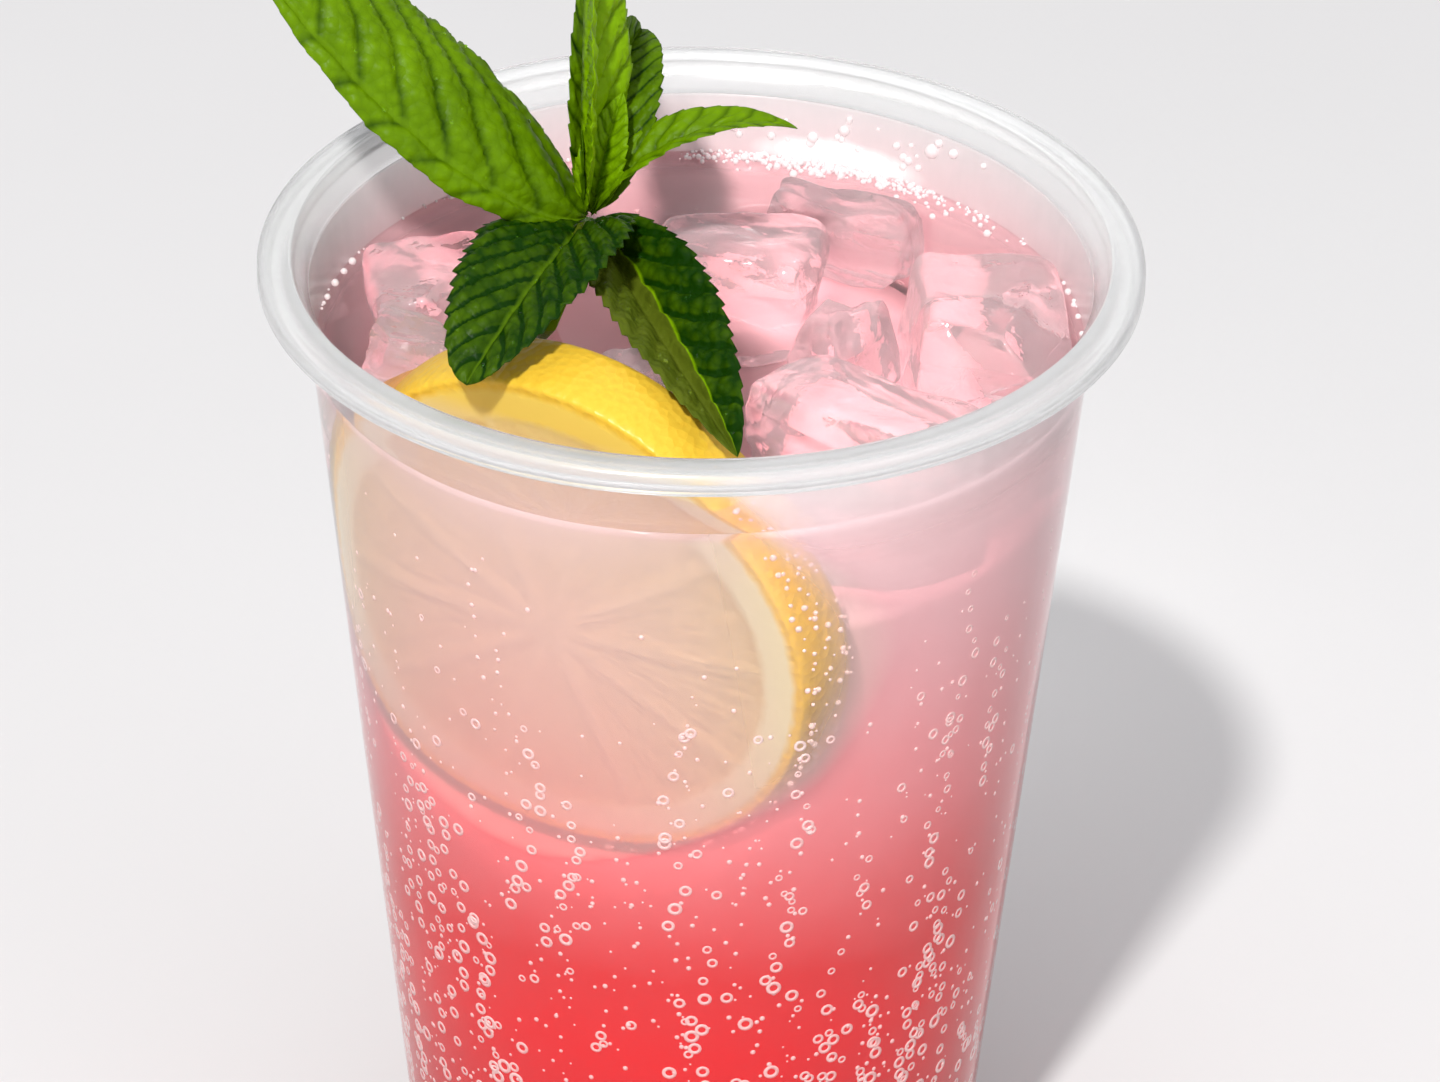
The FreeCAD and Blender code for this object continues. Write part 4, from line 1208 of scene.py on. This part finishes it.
def stage_floor():
    """Wide pale sheet, a hair below the cup."""
    line = np.array([-3.0, 3.0])
    x, y = np.meshgrid(line, line, indexing="ij")
    points = np.stack([x, y, np.full_like(x, -0.05 * MM)], -1).reshape(-1, 3)
    floor = mesh_object("floor", points, np.array([0, 2, 3, 1]), np.array([0]))
    graph = Graph("pale_paper")
    fleck = graph.noise(graph.object_point(), 9.0, 4.0)
    colour = graph.mix(fleck, (0.785, 0.78, 0.785), (0.82, 0.815, 0.82))
    paper = graph.surface(graph.skin({"Base Color": colour, "Roughness": 0.9, "Specular IOR Level": 0.1}))
    floor.data.materials.append(paper)


def aim(obj, place, target, roll=0.0):
    """Puts a lamp or camera at a place and turns it to look at a target."""
    forward = np.array(target, float) - np.array(place, float)
    forward /= np.linalg.norm(forward)
    right = np.cross(forward, [0, 0, 1.0])
    right /= np.linalg.norm(right)
    up = np.cross(right, forward)
    c, s = math.cos(roll), math.sin(roll)
    matrix = np.eye(4)
    matrix[:3, 0] = c * right + s * up
    matrix[:3, 1] = -s * right + c * up
    matrix[:3, 2] = -forward
    matrix[:3, 3] = place
    obj.matrix_world = Matrix(matrix.tolist())


def lamp(name, place, size, power, colour):
    """Round area lamp that looks at the cup."""
    data = bpy.data.lights.new(name, "AREA")
    data.shape = "DISK"
    data.size = size
    data.energy = power
    data.color = colour
    obj = bpy.data.objects.new(name, data)
    bpy.context.scene.collection.objects.link(obj)
    aim(obj, place, (0.0, 0.0, RIM_TOP * 0.7))


def soft_room(scene):
    """An even, nearly white light from all sides."""
    world = bpy.data.worlds.new("soft_room")
    scene.world = world
    world.use_nodes = True
    background = world.node_tree.nodes["Background"]
    background.inputs["Color"].default_value = (1.0, 1.0, 1.02, 1.0)
    background.inputs["Strength"].default_value = 0.58


def stand_camera(scene, settings):
    """A long lens that looks down at the cup from the front."""
    data = bpy.data.cameras.new("camera")
    data.lens = settings.lens
    data.sensor_width = 36.0
    data.sensor_fit = "HORIZONTAL"
    data.clip_start, data.clip_end = 0.01, 20.0
    camera = bpy.data.objects.new("camera", data)
    scene.collection.objects.link(camera)
    target = np.array([settings.aim_side, 0.0, RIM_TOP - settings.aim_below_rim])
    e = settings.elevation
    place = target - settings.distance * np.array([0, math.cos(e), -math.sin(e)])
    aim(camera, place, target, settings.roll)
    scene.camera = camera


class DRINK_OT_stage(bpy.types.Operator):
    """Floor, key lamp, soft surround and camera"""

    bl_idname = "drink.stage"
    bl_label = "Stage"

    def execute(self, context):
        scene = context.scene
        stage_floor()
        lamp("key_lamp", place=(-0.253, -0.898, RIM_TOP + 1.10), size=0.094, power=16.7,
             colour=(1.0, 0.985, 0.965))
        lamp("fill_lamp", place=(0.80, -0.45, RIM_TOP + 0.45), size=0.7, power=1.1, colour=(1.0, 1.0, 1.0))
        soft_room(scene)
        stand_camera(scene, scene.drink_stage)
        scene.cycles.max_bounces = scene.cycles.transmission_bounces = 7
        scene.cycles.diffuse_bounces = scene.cycles.glossy_bounces = 3
        scene.view_settings.view_transform = "Standard"
        return {"FINISHED"}


class DRINK_PT_panel(bpy.types.Panel):
    """Lists the sizes and the pieces"""

    bl_label = "Iced drink"
    bl_space_type = "VIEW_3D"
    bl_region_type = "UI"
    bl_category = "Iced drink"

    def draw(self, context):
        scene = context.scene
        for group in (scene.drink_cup, scene.drink_looks, scene.drink_lemon, scene.drink_stage):
            box = self.layout.box()
            for name in group.__annotations__:
                box.prop(group, name)
        for operator in OPERATORS:
            self.layout.operator(operator.bl_idname)


OPERATORS = (
    DRINK_OT_cup, DRINK_OT_drink, DRINK_OT_lemon, DRINK_OT_ice, DRINK_OT_mint,
    DRINK_OT_bubbles, DRINK_OT_film, DRINK_OT_stage,
)
GROUPS = {
    "drink_cup": CupSizes, "drink_looks": DrinkLooks, "drink_lemon": LemonSizes,
    "drink_stage": StageSettings,
}


def register():
    """Registers the groups, the operators and the panel."""
    for name, group in GROUPS.items():
        bpy.utils.register_class(group)
        setattr(bpy.types.Scene, name, bpy.props.PointerProperty(type=group))
    for operator in OPERATORS:
        bpy.utils.register_class(operator)
    bpy.utils.register_class(DRINK_PT_panel)


def unregister():
    """Takes them all out again."""
    bpy.utils.unregister_class(DRINK_PT_panel)
    for operator in reversed(OPERATORS):
        bpy.utils.unregister_class(operator)
    for name, group in reversed(GROUPS.items()):
        delattr(bpy.types.Scene, name)
        bpy.utils.unregister_class(group)


def main():
    """Builds every piece."""
    register()
    bpy.ops.drink.cup()
    bpy.ops.drink.drink()
    bpy.ops.drink.lemon()
    bpy.ops.drink.ice()
    bpy.ops.drink.mint()
    bpy.ops.drink.bubbles()
    bpy.ops.drink.film()
    bpy.ops.drink.stage()


if __name__ == "__main__":
    main()
